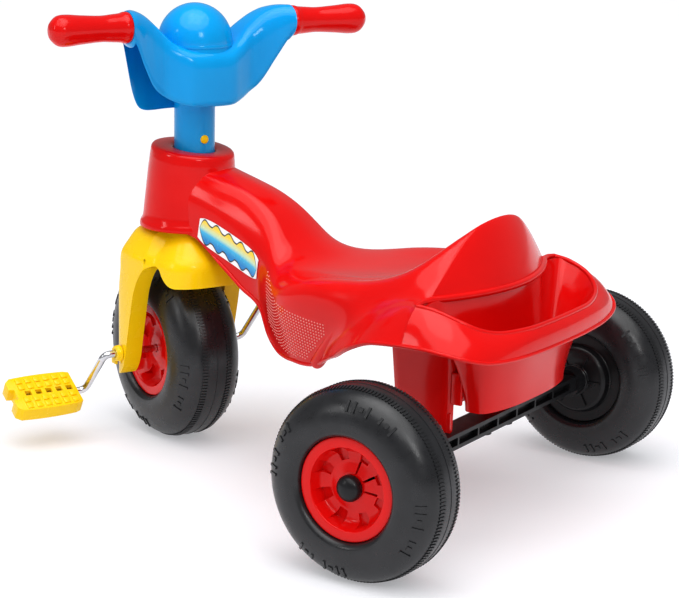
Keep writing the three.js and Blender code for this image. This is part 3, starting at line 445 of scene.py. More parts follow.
# ------------------------------------------------------------------ red body
HEAD_AT, BACK_AT, BEAD_FROM = 352, 5, 322  # along the body: its two ends, and where the rim bead starts
BODY = [
    [352, 0, 0, 320, 28, 313, 40, 290, 41, 264, 41, 245.6],
    [338, 0, 0, 316.4, 28, 309.2, 40, 287.2, 41, 261, 41, 241.8],
    [326, 0, 0, 313, 28, 305.5, 40, 284, 41, 258, 41, 233],
    [300, 0, 0, 305.5, 28, 298, 40, 275, 42, 248, 43, 216],
    [275, 0, 0, 297, 29, 289.5, 42, 265, 45, 232, 45, 198],
    [250, 0, 0, 283.5, 32, 275.5, 48, 250, 52, 220, 47, 182],
    [236, 0, 0, 272.5, 38, 261, 58, 235, 60, 200, 51, 156],
    [220, 0, 0, 257.5, 50, 241, 74, 220, 72, 186, 58, 143],
    [204, 0, 0, 246.5, 66, 231, 90, 211, 82, 179, 67, 140],
    [188, 0, 0, 238.5, 84, 229.5, 100, 210, 90, 178, 76, 141],
    [170, 0, 0, 234.5, 96, 232, 106, 211, 95, 177, 84, 142],
    [150, 0, 0, 232, 102, 236, 110, 213, 99, 175, 91, 146],
    [125, 0, 0, 231, 104, 239.5, 114, 216, 107, 184, 109, 160],
    [100, 0, 0, 232, 104, 242, 116, 219, 119, 194, 133, 173],
    [75, 0, 0, 237, 103, 247, 117, 225, 133, 206, 152, 188],
    [50, 0, 0, 248, 99, 256, 117, 234, 139, 221, 160, 199],
    [28, 0, 0, 266, 90, 270, 115, 241, 140, 232, 164, 203],
    [5, -11, -1, 307, 65, 291, 114, 242, 140, 240, 166, 205],
]
LEDGE_Z, LEDGE_HALF, LEDGE_BACK, LEDGE_FRONT = 241, 114, -28, 5
CREST = [[5, 140, 240], [-14, 138, 237.5], [-36, 133, 230], [-53, 120, 221], [-64, 99, 216],
         [-74, 65, 215], [-77, 32, 215], [-77.5, 0, 215]]
LIP = [[5, 166, 205], [-18, 167, 205.5], [-42, 164, 203], [-60, 151, 198], [-71, 130, 193],
       [-79, 92, 190.5], [-83, 46, 190], [-84, 0, 190]]


def body_half(x, count):
    dc, de, zc, ye, ze, yw, zw, ys, zs, yr, zr = read(BODY, x)
    line = [[x + dc, 0, zc], [x + (dc + 2 * de) / 3, ye * 0.62, zc + (ze - zc) * 0.42], [x + de, ye, ze],
            [x, yw, zw], [x, ys, zs], [x, yr, zr]]
    return through(line, count)


def mirrored(half):
    return list(reversed(half)) + [[x, -y, z] for x, y, z in half[1:]]


def ledge(y):
    return LEDGE_BACK + (LEDGE_FRONT - LEDGE_BACK) * (y / LEDGE_HALF) ** 2


def back_grid(arch, steps):
    rows = []
    for i in range(steps + 1):
        a = math.pi / 2 * i / steps
        row = []
        for x, y, z in arch:
            s = y / LEDGE_HALF
            yl = y * (1 + 0.08 * math.sin(a) * (1 - s * s))
            out = 0.34 * math.sin(a) + 0.66 * (1 - math.cos(a))
            row.append([x + (ledge(yl) - x) * out, y + (yl - y) * out, LEDGE_Z + (z - LEDGE_Z) * math.cos(a)])
        rows.append(row)
    return rows


def eased(a, passes):
    """Inner points of a grid drawn towards their neighbours."""
    for _ in range(passes):
        a[1:-1, 1:-1] = (4 * a[1:-1, 1:-1] + a[:-2, 1:-1] + a[2:, 1:-1] + a[1:-1, :-2] + a[1:-1, 2:]) / 8
    return a


def body_and_back(steps=110, count=30, passes=14):
    """Grids of the seat moulding and of its backrest, softened together over the crest."""
    along = [HEAD_AT - (HEAD_AT - BACK_AT) * i / steps for i in range(steps + 1)]
    body = np.array([mirrored(body_half(x, count)) for x in along])
    a, b = count - 3 * count // 5, count + 3 * count // 5
    for _ in range(30):
        body[-1, a + 1:b] = (2 * body[-1, a + 1:b] + body[-1, a:b - 1] + body[-1, a + 2:b + 1]) / 4
    body[-1, a:b + 1, 2] += 2.2 * np.sin(np.linspace(0, np.pi, b - a + 1))
    back = np.array(back_grid(body[-1, a:b + 1].tolist(), 26))
    for _ in range(passes):
        eased(body, 1)
        mean = (body[-2, a + 1:b] + back[1, 1:-1] + body[-1, a:b - 1] + body[-1, a + 2:b + 1]) / 4
        body[-1, a + 1:b] = (body[-1, a + 1:b] + mean) / 2
        back[0] = body[-1, a:b + 1]
        eased(back, 1)
    return body.tolist(), back.tolist()


def tray_grid(count, across):
    crest, lip = through(CREST, count), through(LIP, count)
    left = []
    for i, (c, l) in enumerate(zip(crest, lip)):
        row = []
        for k in range(across + 1):
            t = 1 - k / across
            bow = 5 * math.sin(math.pi * t)
            row.append([c[0] + (l[0] - c[0]) * t - bow * (i / count) * 0.8,
                        c[1] + (l[1] - c[1]) * t + bow * (1 - i / count) * 0.6,
                        c[2] + (l[2] - c[2]) * t + bow * 0.5])
        left.append(row)
    right = [[[x, -y, z] for x, y, z in row] for row in left[:-1]]
    return left + right[::-1]


def pocket_grid(count, levels):
    """Wall and floor of the tray behind the backrest."""
    middle, narrow = -33, 0.42
    crest = [[x, y - 0.5, z - 1] for x, y, z in through(CREST, count)]
    front = []
    for k in range(1, count):
        y = -LEDGE_HALF + 2 * LEDGE_HALF * k / count
        front.append([ledge(y) - 0.5, y, LEDGE_Z - 0.5])
    right = [[x, -y, z] for x, y, z in crest[:-1]][::-1]
    mouth = (crest + right + front)[::-1]
    rings = []
    for i in range(levels + 1):
        t = i / levels
        pull = 1 - (1 - t) ** 1.6
        ring = []
        for x, y, z in mouth:
            fx = middle + (x - middle) * narrow + (-2 if x > middle else 2)
            fy = math.copysign(min(abs(y) * 0.66 + 2, 84), y) if y else 0
            ring.append([x + (fx - x) * pull, y + (fy - y) * pull, z + (TUB_FLOOR - z) * t])
        loop = np.array(ring)
        for _ in range(10):
            loop = (2 * loop + np.roll(loop, 1, 0) + np.roll(loop, -1, 0)) / 4
        rings.append(loop.tolist())
    return rings


def head():
    rows = [[HEAD_R_BOTTOM + 2, HEAD_BOTTOM, 0], [HEAD_R_BOTTOM + 3, HEAD_BOTTOM + 1.2, 0],
            [HEAD_R_BOTTOM + 3, HEAD_BOTTOM + 4.5, 0], [HEAD_R_BOTTOM + 2, HEAD_BOTTOM + 7, 0.03],
            [HEAD_R_BOTTOM + 0.4, HEAD_BOTTOM + 9.5, 0.08], [HEAD_R_BOTTOM - 0.4, HEAD_BOTTOM + 15, 0.14],
            [HEAD_R_TOP + 2.4, HEAD_TOP - 26, 0.7], [HEAD_R_TOP + 1, HEAD_TOP - 13, 0.84],
            [HEAD_R_TOP + 0.9, HEAD_TOP - 10.5, 0.88], [HEAD_R_TOP + 0.4, HEAD_TOP - 8.6, 0.9],
            [HEAD_R_TOP + 0.2, HEAD_TOP - 5, 0.94], [HEAD_R_TOP - 0.6, HEAD_TOP - 2.4, 0.97],
            [HEAD_R_TOP - 2.2, HEAD_TOP - 0.7, 0.99], [HEAD_R_TOP - 4.4, HEAD_TOP, 1],
            [COLUMN_R + 5, HEAD_TOP, 1], [COLUMN_R + 2, HEAD_TOP - 0.4, 1],
            [COLUMN_R + RUN, HEAD_TOP - 1.6, 1], [COLUMN_R + RUN, HEAD_TOP - 8, 1],
            [HEAD_R_TOP - 4, HEAD_TOP - 8, 1], [HEAD_R_BOTTOM - 2.5, HEAD_BOTTOM, 0]]
    rings = []
    for r, z, up in rows:
        lean = LEAN_BOTTOM + (LEAN_TOP - LEAN_BOTTOM) * up
        if r < COLUMN_R + 4:
            lean = 0
        rings.append([(WHEELBASE + lean + r * math.cos(a), r * math.sin(a),
                       z + HEAD_RISE * (lean + r * math.cos(a)) * up)
                      for a in (2 * math.pi * k / 96 for k in range(96))])
    return loft(rings, loop=True)


def support_ring(x0, x1, half, r, z, per=8):
    ring = []

    def corner(cx, cy, start):
        for k in range(per + 1):
            a = start + math.pi / 2 * k / per
            ring.append((cx + r * math.cos(a), cy + r * math.sin(a), z))

    corner(x1 - r, half - r, 0)
    corner(x0 + r, half - r, math.pi / 2)
    corner(x0 + r, -half + r, math.pi)
    corner(x1 - r, -half + r, 1.5 * math.pi)
    return ring


def support_box():
    x0, x1, half, r, foot = -10, 67, 95, 13, 9
    z0 = BEAM_TOP + GAP
    outer = loft([support_ring(x0 + d, x1 - k - d, half - k * 0.4 - d, r - d * 0.8, z)
                  for k, z, d in ((9, z0, 1.0), (8.9, z0 + 1, 0), (0, 212, 0))])
    inner = loft([support_ring(x0 + WALL, x1 - k - WALL, half - k * 0.4 - WALL, r - WALL * 0.8, z)
                  for k, z in ((9.2, z0 - 2), (0, 214))])
    legs = half - foot
    walls = cut(outer, inner, box(x0 - 5, x1 + 5, -legs, legs, z0 - 5, TUB_FLOOR + 4))
    feet = [box(x0 + 3, 12.5, s * (legs + 0.3) if s > 0 else -half + 5, half - 5 if s > 0 else -legs - 0.3,
                z0, z0 + 20) for s in (1, -1)]
    return [walls, *feet]


def rim_bead():
    """Bead on the lower edge; it starts behind the sweep of the fork crown."""
    steps = 110
    left = [body_half(BEAD_FROM + (BACK_AT - BEAD_FROM) * i / steps, 10)[-1] for i in range(steps + 1)]
    rear = through(LIP, 60)[1:]
    half = left + rear
    path = half + [[x, -y, z] for x, y, z in half[:-1]][::-1]
    n = len(path)
    radii = [min(2.1, 0.4 + 0.3 * min(i, n - 1 - i)) for i in range(n)]
    return tube([[x, y, z + 0.6] for x, y, z in path], radii, 10)


def fold(side):
    """Rolled fold that ends the dotted apron: from its tip up into the flank."""
    spots = [[154, 86, 145.5], [147, 90, 151], [136, 96, 164], [122, 103, 181], [104, 110, 198],
             [88, 114, 208]]
    thick = [[0, 2.0], [0.05, 5.4], [0.14, 7.2], [0.5, 7.0], [0.8, 5.0], [1, 1.5]]
    line = through(spots, 40)
    radii = [read(thick, i / 40)[0] for i in range(41)]
    return tube([[x, side * y, z] for x, y, z in line], radii, 24)


BODY_GRID, BACK_GRID = body_and_back()
COLS = len(BODY_GRID[0])
SKIN = BVHTree.FromPolygons(
    [Vector(p) for row in BODY_GRID for p in row],
    [(i * COLS + j, i * COLS + j + 1, (i + 1) * COLS + j + 1, (i + 1) * COLS + j)
     for i in range(len(BODY_GRID) - 1) for j in range(COLS - 1)])


def flank(x, z, lift):
    """Point on the left flank of the body at x and z, lifted off it."""
    hit, normal, _, _ = SKIN.ray_cast(Vector((x, 260, z)), Vector((0, -1, 0)))
    if hit is None:
        hit, normal, _, _ = SKIN.find_nearest(Vector((x, 60, z)))
    return hit + normal * (lift if normal.y > 0 else -lift)


def dots(side):
    """Moulded pimples on the apron, in slanting rows."""
    first, across, down, slant, radius = 228, 3.75, 3.35, 0.05, 0.95
    out = []
    for row in range(17):
        for col in range(30):
            x = first - col * across
            top = read([[118, 199], [150, 199], [185, 202], [205, 207], [228, 226]], x)[0]
            z = top - row * down - (first - x) * slant
            rim = body_half(x, 10)[-1][2]
            if z < rim + 7 or x < 128 + max(0, 186 - z) * 0.95:
                continue
            c = flank(x, z, 0)
            n = (flank(x, z, 1) - c).normalized()
            u = n.orthogonal().normalized()
            w = n.cross(u)
            ring = [c + radius * (u * math.cos(a) + w * math.sin(a))
                    for a in (math.pi / 3 * k for k in range(6))]
            mid = [c + n * 0.55 + 0.62 * (p - c) / radius for p in ring]
            verts = [tuple(p) for p in ring + mid] + [tuple(c + n * 0.8), tuple(c - n * 0.5)]
            faces = []
            for k in range(6):
                j = (k + 1) % 6
                faces += [(k, j, 6 + j, 6 + k), (6 + k, 6 + j, 12), (j, k, 13)]
            out.append(([(p[0], side * p[1], p[2]) for p in verts], faces))
    return joined(out)


def body_shell():
    crest = [[x, y, z - 1.2] for x, y, z in through(CREST, 60)]
    crest = crest + [[x, -y, z] for x, y, z in crest[:-1]][::-1]
    ledge_line = [[ledge(y) - 1.5, y, LEDGE_Z - 1] for y in (LEDGE_HALF * (i / 30 - 1) for i in range(61))]
    mouth = crest + [[6, -128, LEDGE_Z - 1]] + ledge_line + [[6, 128, LEDGE_Z - 1], crest[0], crest[1]]
    radii = [2.4] * len(crest) + [2.8] + [3.6] * 61 + [2.8, 2.4, 2.4]
    webs = [bevelled(box(-19, -7, s * 89 - 2, s * 89 + 2, 133, 165), 1.8, 3) for s in (1, -1)]
    return [sheet(BODY_GRID, WALL), head(), sheet(BACK_GRID, WALL), sheet(tray_grid(48, 8), WALL),
            sheet(pocket_grid(40, 14), WALL, ring=True, closed=True), rim_bead(), fold(1), fold(-1),
            tube(mouth, radii, 16), *webs, *support_box()]


piece("body_shell", "frame", RED, body_shell(), ["frame_body"])
# The dot pieces wear the paler red, a painted highlight on each pimple.
for side, word in ((1, "left"), (-1, "right")):
    piece("body_dots_painted_highlight_" + word, "frame", DOTS_PAINTED_HIGHLIGHT, dots(side), [])


def sticker(side, word):
    front, rear, mid, drop, half, lean = 334, 250, 255, 32, 14.5, 0.16
    long, tall_steps = 60, 16

    def grid(lift):
        rows = []
        for i in range(long + 1):
            u = i / long
            tall = half * (1 - 0.3 * abs(2 * u - 1) ** 6)
            row = []
            for k in range(tall_steps + 1):
                up = tall * (1 - 2 * k / tall_steps)
                x, y, z = flank(front + (rear - front) * u - lean * up, mid - drop * u + up, lift)
                row.append([x, side * y, z])
            rows.append(row)
        return rows

    obj = piece("sticker_film_" + word, "frame", STICKER, sheet(grid(0.55), 0.5),
                ["sticker_" + word])
    layer = obj.data.uv_layers.new(name="UVMap")
    inverse = MM.inverted()
    for loop in obj.data.loops:
        p = inverse @ obj.data.vertices[loop.vertex_index].co
        u = (front - p.x) / (front - rear)
        u -= lean * (p.z - (mid - drop * u)) / (front - rear)
        layer.data[loop.index].uv = (u, 0.5 + (p.z - (mid - drop * u)) / (2 * half))


sticker(1, "left")
sticker(-1, "right")


# ------------------------------------------------------------------ wheels
def tyre_section(R, width, opening, steps=56):
    h, half = R - opening, width / 2
    turn = math.radians(11)
    over = []
    for i in range(steps + 1):
        a = turn + (math.pi - 2 * turn) * i / steps
        c = math.cos(a)
        over.append((opening + h * math.sin(a) ** (2 / TYRE_POWER),
                     half * math.copysign(abs(c) ** (2 / TYRE_POWER), c)))
    lip = [(opening + RIM_LIP * (1 - math.sin(d)), half - RIM_SET_IN * (1 - math.cos(d)))
           for d in map(math.radians, (90, 78, 66, 54, 42, 30, 20))]
    return lip + over + [(r, -y) for r, y in lip][::-1]


def bar_on(R, width, opening, angle, along, size, lift):
    """Small raised block on the tyre: angle round the wheel, along = place on the section 0 to 1."""
    section = tyre_section(R, width, opening)
    i = along * (len(section) - 1)
    k = min(int(i), len(section) - 2)
    (r0, y0), (r1, y1) = section[k], section[k + 1]
    s = i - k
    r, y = r0 + (r1 - r0) * s, y0 + (y1 - y0) * s
    t = Vector((r1 - r0, y1 - y0)).normalized()
    nrm = Vector((-t.y, t.x))
    if nrm.x * (r - opening) + nrm.y * y < 0:
        nrm = -nrm
    c, q = math.cos(angle), math.sin(angle)
    e1 = Vector((t.x * c, t.y, t.x * q))
    e2 = Vector((-q, 0, c))
    e3 = Vector((nrm.x * c, nrm.y, nrm.x * q))
    m = Matrix.Identity(4)
    for j, e in enumerate((e1, e2, e3)):
        for w in range(3):
            m[w][j] = e[w]
    m.translation = Vector((r * c, y, r * q))
    a, b = size
    return shifted(box(-a / 2, a / 2, -b / 2, b / 2, -0.8, lift), m)


def tyre(R, width, opening):
    seat = width / 2 - RIM_SET_IN - RIM_DEEP
    section = tyre_section(R, width, opening)
    profile = [(opening, -seat)] + section[::-1] + [(opening, seat), (opening - 12, seat),
                                                    (opening - 12, -seat), (opening, -seat)]
    parts = [turned(profile, "Y", 144)]
    seam = [(R - 1.5, -1.0), (R + 0.4, -0.6), (R + 0.4, 0.6), (R - 1.5, 1.0), (R - 1.5, -1.0)]
    parts.append(turned(seam, "Y", 144))
    pitch, lift = 3.6, 0.9  # of the small tread blocks
    count = int(2 * math.pi * R / pitch)
    n = len(section) - 1
    for k in range(count):
        a = 2 * math.pi * k / count
        for s in (-1, 1):
            parts.append(bar_on(R, width, opening, a, 0.5 + s * 0.075, (6.6, 1.8), lift))
    marks = ((0, 2.4, 11), (1, 2.4, 11), (2, 4.4, 4.4), (3, 2.4, 11), (5, 2.4, 7), (6, 4.4, 4.4),
             (7, 2.4, 11))
    for block in range(4):
        for step, wide, tall in marks:
            for s in (0, 1):
                a = 2 * math.pi * (block + 0.12 * s) / 4 + math.radians(5.2) * step
                place = 0.235 if s == 0 else 0.765
                parts.append(bar_on(R, width, opening, a, place, (tall, wide), lift))
    return parts


def wedge(r0, r1, w0, w1, y0, y1, angle):
    v = [(r0, y, s * w0 / 2) for y in (y0, y1) for s in (-1, 1)]
    v += [(r1, y, s * w1 / 2) for y in (y0, y1) for s in (-1, 1)]
    f = [(0, 1, 3, 2), (4, 6, 7, 5), (0, 4, 5, 1), (2, 3, 7, 6), (0, 2, 6, 4), (1, 5, 7, 3)]
    return shifted((v, f), Matrix.Rotation(angle, 4, "Y"))


def rim(opening, face, bore, slots=()):
    o = opening
    floor = face - RIM_DISH
    profile = [(bore, face - RIM_DEEP + GAP), (o - GAP, face - RIM_DEEP + GAP), (o - GAP, face - 1.6)]
    profile += arc(o - GAP - 1.6, face - 1.6, 1.6, 0, 90, 4)
    profile += [(o - 5, face + 0.15), (o - 9, face)] + arc(o - 9.4, face - 1.4, 1.4, 90, 160, 4)
    profile += [(o - 13, face - 7.5), (o - 15, floor + 2.6), (o - 16.8, floor + 0.7), (o - 19, floor),
                (25, floor), (22, floor + 0.5), (15, floor + 2.4), (13, floor + 3), (bore, floor + 3),
                (bore, face - RIM_DEEP + GAP)]
    body = turned(profile, "Y", 96)
    tools = [wedge(25.5, o - 12.6, 8.5, 13.5, floor - 3.2, floor + 12, 2 * math.pi * (k + 0.5) / 8)
             for k in range(8)]
    tools += [wedge(12.5, 25.5, 2.0, 2.4, face - RIM_DEEP - 2, face, math.radians(a)) for a in slots]
    return bevelled(cut(body, joined(tools)), 0.7, 3, 40)


def inner_hub(opening, face, bore):
    profile = [(bore, face - HUB_OUT)] + [(16, face - HUB_OUT), (17, face - HUB_OUT + 1), (17, face - 9.6),
               (17.6, face - 9), (32.4, face - 9), (33, face - 8.8), (35.8, face - 6.4), (36.2, face - 5.6),
               (37.6, face + 1.2), (38.6, face + 2), (opening - GAP - 1, face + 2), (opening - GAP, face + 3),
               (opening - GAP, face + RIM_DEEP - GAP), (bore, face + RIM_DEEP - GAP), (bore, face - HUB_OUT)]
    parts = [turned(profile, "Y", 96)]
    for k in range(6):
        m = Matrix.Rotation(2 * math.pi * k / 6, 4, "Y")
        parts.append(shifted(box(17, 31, face - 11.2, face - 8.5, -1.1, 1.1), m))
    return parts


WHEEL_BORE = AXLE_R + RUN
for side, word in ((1, "left"), (-1, "right")):
    where = MM @ Matrix.Translation((0, side * TRACK / 2, REAR_R))
    if side < 0:
        where = where @ Matrix.Rotation(math.pi, 4, "Z")
    body = "rear_wheel_" + word
    face = REAR_W / 2 - RIM_SET_IN
    piece("tyre_rear_" + word, body, TYRE, tyre(REAR_R, REAR_W, REAR_RIM_R), ["rear_tyre_" + word],
          where)
    piece("rim_rear_" + word, body, RED, rim(REAR_RIM_R, face, WHEEL_BORE, (170, 210, 255)),
          ["rear_rim_" + word], where, 30)
    piece("hub_rear_" + word, body, BLACK, inner_hub(REAR_RIM_R, -face, WHEEL_BORE),
          ["rear_hub_" + word], where, 30)
    floor = face - RIM_DISH + 3
    foot = floor + 2 * GAP + 1.2
    washer = [(AXLE_R + GAP, floor + GAP), (9.2, floor + GAP), (9.5, floor + GAP + 0.3),
              (9.5, foot - GAP - 0.3), (9.2, foot - GAP), (AXLE_R + GAP, foot - GAP),
              (AXLE_R + GAP, floor + GAP)]
    piece("washer_" + word, "frame", STEEL, turned(washer, "Y", 64), ["axle_washer_" + word], where)
    dome = [(0, foot), (12.2, foot), (12.5, foot + 0.4), (12.5, foot + 3.6)]
    dome += [(12.5 * math.cos(a), foot + 3.6 + 8.4 * math.sin(a))
             for a in (math.pi / 2 * k / 12 for k in range(1, 13))]
    piece("cap_" + word, "frame", BLACK, turned(dome, "Y", 64), ["axle_cap_" + word], where)

face = FRONT_W / 2 - RIM_SET_IN
piece("tyre_front", "front_wheel", TYRE, tyre(FRONT_R, FRONT_W, FRONT_RIM_R), ["front_tyre"],
      FRONT)
for side, word in ((1, "left"), (-1, "right")):
    where = FRONT @ (Matrix.Rotation(math.pi, 4, "Z") if side < 0 else Matrix.Identity(4))
    piece("rim_front_" + word, "front_wheel", RED, rim(FRONT_RIM_R, face, AXLE_R + GAP),
          ["front_hub_" + word], where, 30)

# ------------------------------------------------------------------ handlebar
BAR = [
    [0, -46, 32, 442, 381, 370, 4.2, 14],
    [24, -44, 29, 442.5, 382, 370, 4.2, 14],
    [40, -36, 24, 450, 387, 370, 4, 14],
    [52, -31, 19, 462, 394, 371, 3.6, 14],
    [60, -32, 16, 469, 400, 374, 3.4, 13],
    [66, -33, 13, 474, 406, 381, 3.2, 11],
    [72, -35.5, 10, 478, 415, 395, 3, 9],
    [78, -38, 6.5, 481, 424, 416, 2.8, 6.5],
    [88, -44, -3, 484, 439, 441, 2.4, 3.4],
    [97.5, -49.5, -15, 484.5, 450.5, 450.5, 2, 2],
]


def bar_section(side, inset, drop, count):
    rear, front, top, low_rear, low_front, above, below = read(BAR, min(GRIP_FROM, abs(side)))
    a = (front - rear) / 2 - inset
    cx, cz = (front + rear) / 2, (top + max(low_rear, low_front)) / 2
    ring = []
    for k in range(count):
        t = 2 * math.pi * k / count
        c, s = math.cos(t), math.sin(t)
        n = below if s < 0 else above
        along = math.copysign(abs(c) ** (2 / n), c)
        up = abs(s) ** (2 / n)
        low = low_rear + (low_front - low_rear) * (along + 1) / 2
        if s < -0.1:
            z = cz - (cz - low - inset) * up - drop
        else:
            z = cz + (top - cz - inset) * math.copysign(up, s)
        ring.append((cx + a * along, side, z))
    return ring


def bar(inset, reach, drop, sections=72, count=64):
    sides = [reach * (-1 + 2 * i / sections) for i in range(sections + 1)]
    return loft([bar_section(side, inset, drop, count) for side in sides])


def dome_profile(r, base, top, steps):
    over = [(r * math.cos(a), base + (top - base) * math.sin(a))
            for a in (math.pi / 2 * (i + 1) / steps for i in range(steps))]
    return [(0, base - 24), (r, base - 24), (r, base)] + over


def handlebar():
    dome = turned(dome_profile(DOME_R, DOME_BASE, DOME_TOP, 24))
    hollow = turned(dome_profile(DOME_R - WALL, DOME_BASE, DOME_TOP - WALL, 12))
    shell = combined(bar(0, GRIP_FROM - GAP, 0), dome, "UNION")
    shell = cut(shell, bar(WALL, GRIP_FROM - 4, 40, 48, 48), hollow)
    column = [(COLUMN_R - 3, COLUMN_BOTTOM), (COLUMN_R - 0.5, COLUMN_BOTTOM), (COLUMN_R, COLUMN_BOTTOM + 0.5),
              (COLUMN_R, DOME_TOP - 22), (COLUMN_R - 3, DOME_TOP - 22), (COLUMN_R - 3, COLUMN_BOTTOM)]
    crease = turned([(DOME_R - 2, 441.4), (DOME_R + 0.5, 442.2), (DOME_R + 0.8, 443.6), (DOME_R + 0.3, 445.2),
                     (DOME_R - 2, 446), (DOME_R - 2, 441.4)])
    return [bevelled(shell, 0.8, 2, 50), turned(column), crease]


piece("handlebar_shell", "steering", BLUE, handlebar(), ["handlebar"], STEER, 32)

GRIP = [[0, 0.97], [0.008, 1.0], [0.05, 1.0], [0.062, 0.985], [0.09, 0.935], [0.2, 0.88], [0.35, 0.83],
        [0.6, 0.91], [0.8, 1], [0.9, 0.93], [0.97, 0.62], [0.99, 0.42], [1, 0.12]]
for side, word in ((1, "left"), (-1, "right")):
    rings = []
    for i in range(121):
        t = 1 - (1 - i / 120) ** 1.6
        r = GRIP_BULB * read(GRIP, t)[0]
        y = GRIP_FROM + (GRIP_TO - GRIP_FROM) * t
        back = GRIP_BACK + GRIP_SWEEP * t
        rings.append([(-back + r * math.cos(a), side * y, GRIP_Z + r * math.sin(a))
                      for a in (2 * math.pi * k / 48 for k in range(48))])
    piece("grip_cover_" + word, "steering", RED, loft(rings), ["grip_" + word], STEER)

pin = [(0, 6)] + [(BUTTON_R, 6), (BUTTON_R, COLUMN_R + 0.6)]
pin += [(BUTTON_R * math.cos(a), COLUMN_R + 0.6 + 1.1 * math.sin(a))
        for a in (math.pi / 2 * k / 8 for k in range(1, 9))]
ring = turned([(BUTTON_R + 0.35, 20), (BUTTON_R + 1.1, 20), (BUTTON_R + 1.1, COLUMN_R + 0.35),
               (BUTTON_R + 0.35, COLUMN_R + 0.35), (BUTTON_R + 0.35, 20)], "Y", 48)
aim = Matrix.Translation((0, 0, BUTTON_Z)) @ Matrix.Rotation(math.pi / 2, 4, "Z")
piece("button_pin", "steering", YELLOW, shifted(turned(pin, "Y", 48), aim), ["lock_button"],
      STEER)


# ------------------------------------------------------------------ fork
def smoothstep(x, a, b):
    t = min(1, max(0, (x - a) / (b - a)))
    return t * t * (3 - 2 * t)


def fork_ring(rear, front, half, behind, z, count=112):
    ring = []
    for k in range(count):
        t = 2 * math.pi * (k + 0.5) / count
        c, s = math.cos(t), math.sin(t)
        n = 6 if c > 0 else 3.2
        reach = front if c > 0 else rear
        wide = behind + (half - behind) * smoothstep(c, -0.14, 0.02)
        ring.append((reach * abs(c) ** (2 / n), wide * math.copysign(abs(s) ** (2 / n), s), z))
    return ring


HOOD = [
    [60, -61, 66, LEG_OUT, 57.5],
    [206, -61, 66, LEG_OUT, 57.5],
    [216, -59, 61, LEG_OUT - 1, 55],
    [226, -52, 54, LEG_OUT - 6, 48],
    [CROWN_TOP - 5, -40, 48, LEG_OUT - 15, 38],
    [CROWN_TOP, -37, 43, LEG_OUT - 22, 36],
]


def fork_hood(inset):
    levels = [60, 204] + [206 + (CROWN_TOP - 206) * i / 16 for i in range(17)]
    rings = []
    for z in levels:
        rear, front, half, behind = read(HOOD, z)
        rings.append(fork_ring(rear + inset, front - inset, half - inset, behind - inset,
                               z - (inset if z > 206 else 0)))
    return loft(rings)


def bend(p0, p1, p2, steps=10):
    return [tuple((1 - t) ** 2 * a + 2 * (1 - t) * t * b + t * t * c for a, b, c in zip(p0, p1, p2))
            for t in (i / steps for i in range(1, steps + 1))]


def leg_outline():
    s = [(-60, 190), (-46, 189)]
    s += bend(s[-1], (-34, 190), (-26, 206))
    s += bend(s[-1], (-18, 213), (-8, 205))
    s += bend(s[-1], (6, 194), (14, 172))
    s += [(28, 115)]
    s += bend(s[-1], (33, 84), (46, 76))
    s += bend(s[-1], (55, 73), (60, 84))
    s += [(60, 112)]
    s += bend(s[-1], (56, 160), (44, 196))
    return s + [(44, 256), (-60, 256)]


def fork():
    hood = fork_hood(0)
    inside = combined(fork_hood(WALL), box(-70, -6, -90, 90, 50, 240), "INTERSECT")
    skirt = combined(cut(hood, inside), box(-70, -5, -90, 90, 150, 250), "INTERSECT")
    wheel_room = FRONT_R + 6
    arch = turned([(0, -LEG_IN), (wheel_room, -LEG_IN), (wheel_room, LEG_IN), (0, LEG_IN)], "Y", 96)
    arch = shifted(arch, Matrix.Translation((TRAIL, 0, FRONT_R)))
    legs = combined(hood, box(-8, 90, -90, 90, 60, 250), "INTERSECT")
    legs = cut(legs, box(-90, 90, -LEG_IN, LEG_IN, 50, 204), arch)
    shell = combined(skirt, legs, "UNION")
    shell = combined(shell, prism(leg_outline(), -LEG_OUT - 5, LEG_OUT + 5), "INTERSECT")
    bore = shifted(turned([(0, -90), (AXLE_R + RUN, -90), (AXLE_R + RUN, 90), (0, 90)], "Y", 32),
                   Matrix.Translation((TRAIL, 0, FRONT_R)))
    shell = bevelled(cut(shell, bore), 1.3, 3, 42)
    stem = turned([(0, CROWN_TOP - 10), (COLUMN_R - 3.35, CROWN_TOP - 10), (COLUMN_R - 3.35, 356), (0, 356)])
    seat = turned([(0, CROWN_TOP - 8), (38, CROWN_TOP - 8), (38, CROWN_TOP + 11), (37, CROWN_TOP + 12),
                   (0, CROWN_TOP + 12)])
    return [shell, stem, seat]


piece("fork_shell", "steering", YELLOW, fork(), ["steering_fork"], STEER, 34)

y0 = LEG_OUT + GAP
for side, word in ((1, "left"), (-1, "right")):
    where = FRONT @ (Matrix.Rotation(math.pi, 4, "Z") if side < 0 else Matrix.Identity(4))
    collar = turned([(AXLE_R + RUN, y0), (9, y0), (9, y0 + 1), (8.4, y0 + 5.2), (7.6, y0 + 6),
                     (AXLE_R + RUN, y0 + 6), (AXLE_R + RUN, y0)], "Y", 48)
    tab = bevelled(box(4, 14, y0, y0 + 3, -14, -5), 0.8, 3)
    piece("clip_" + word, "steering", YELLOW, [collar, tab], ["fork_clip_" + word], where)


# ------------------------------------------------------------------ crank and pedals
def crank():
    d = Vector((math.cos(CRANK_DROP), 0, -math.sin(CRANK_DROP)))
    end = PEDAL_START + PEDAL_LONG - 12

    def at(y, r, s):
        return s * r * d + Vector((0, s * y, 0))

    corners = [at(end, CRANK_R, 1), at(ARM_TO, CRANK_R, 1), at(ARM_FROM, 0, 1), at(ARM_FROM, 0, -1),
               at(ARM_TO, CRANK_R, -1), at(end, CRANK_R, -1)]
    path = [corners[0]]
    for before, c, after in zip(corners, corners[1:], corners[2:]):
        a = c + (before - c).normalized() * CRANK_BEND
        b = c + (after - c).normalized() * CRANK_BEND
        path += [((1 - t) ** 2) * a + 2 * (1 - t) * t * c + t * t * b for t in (i / 10 for i in range(11))]
    path.append(corners[-1])
    return tube(path, AXLE_R, 28)


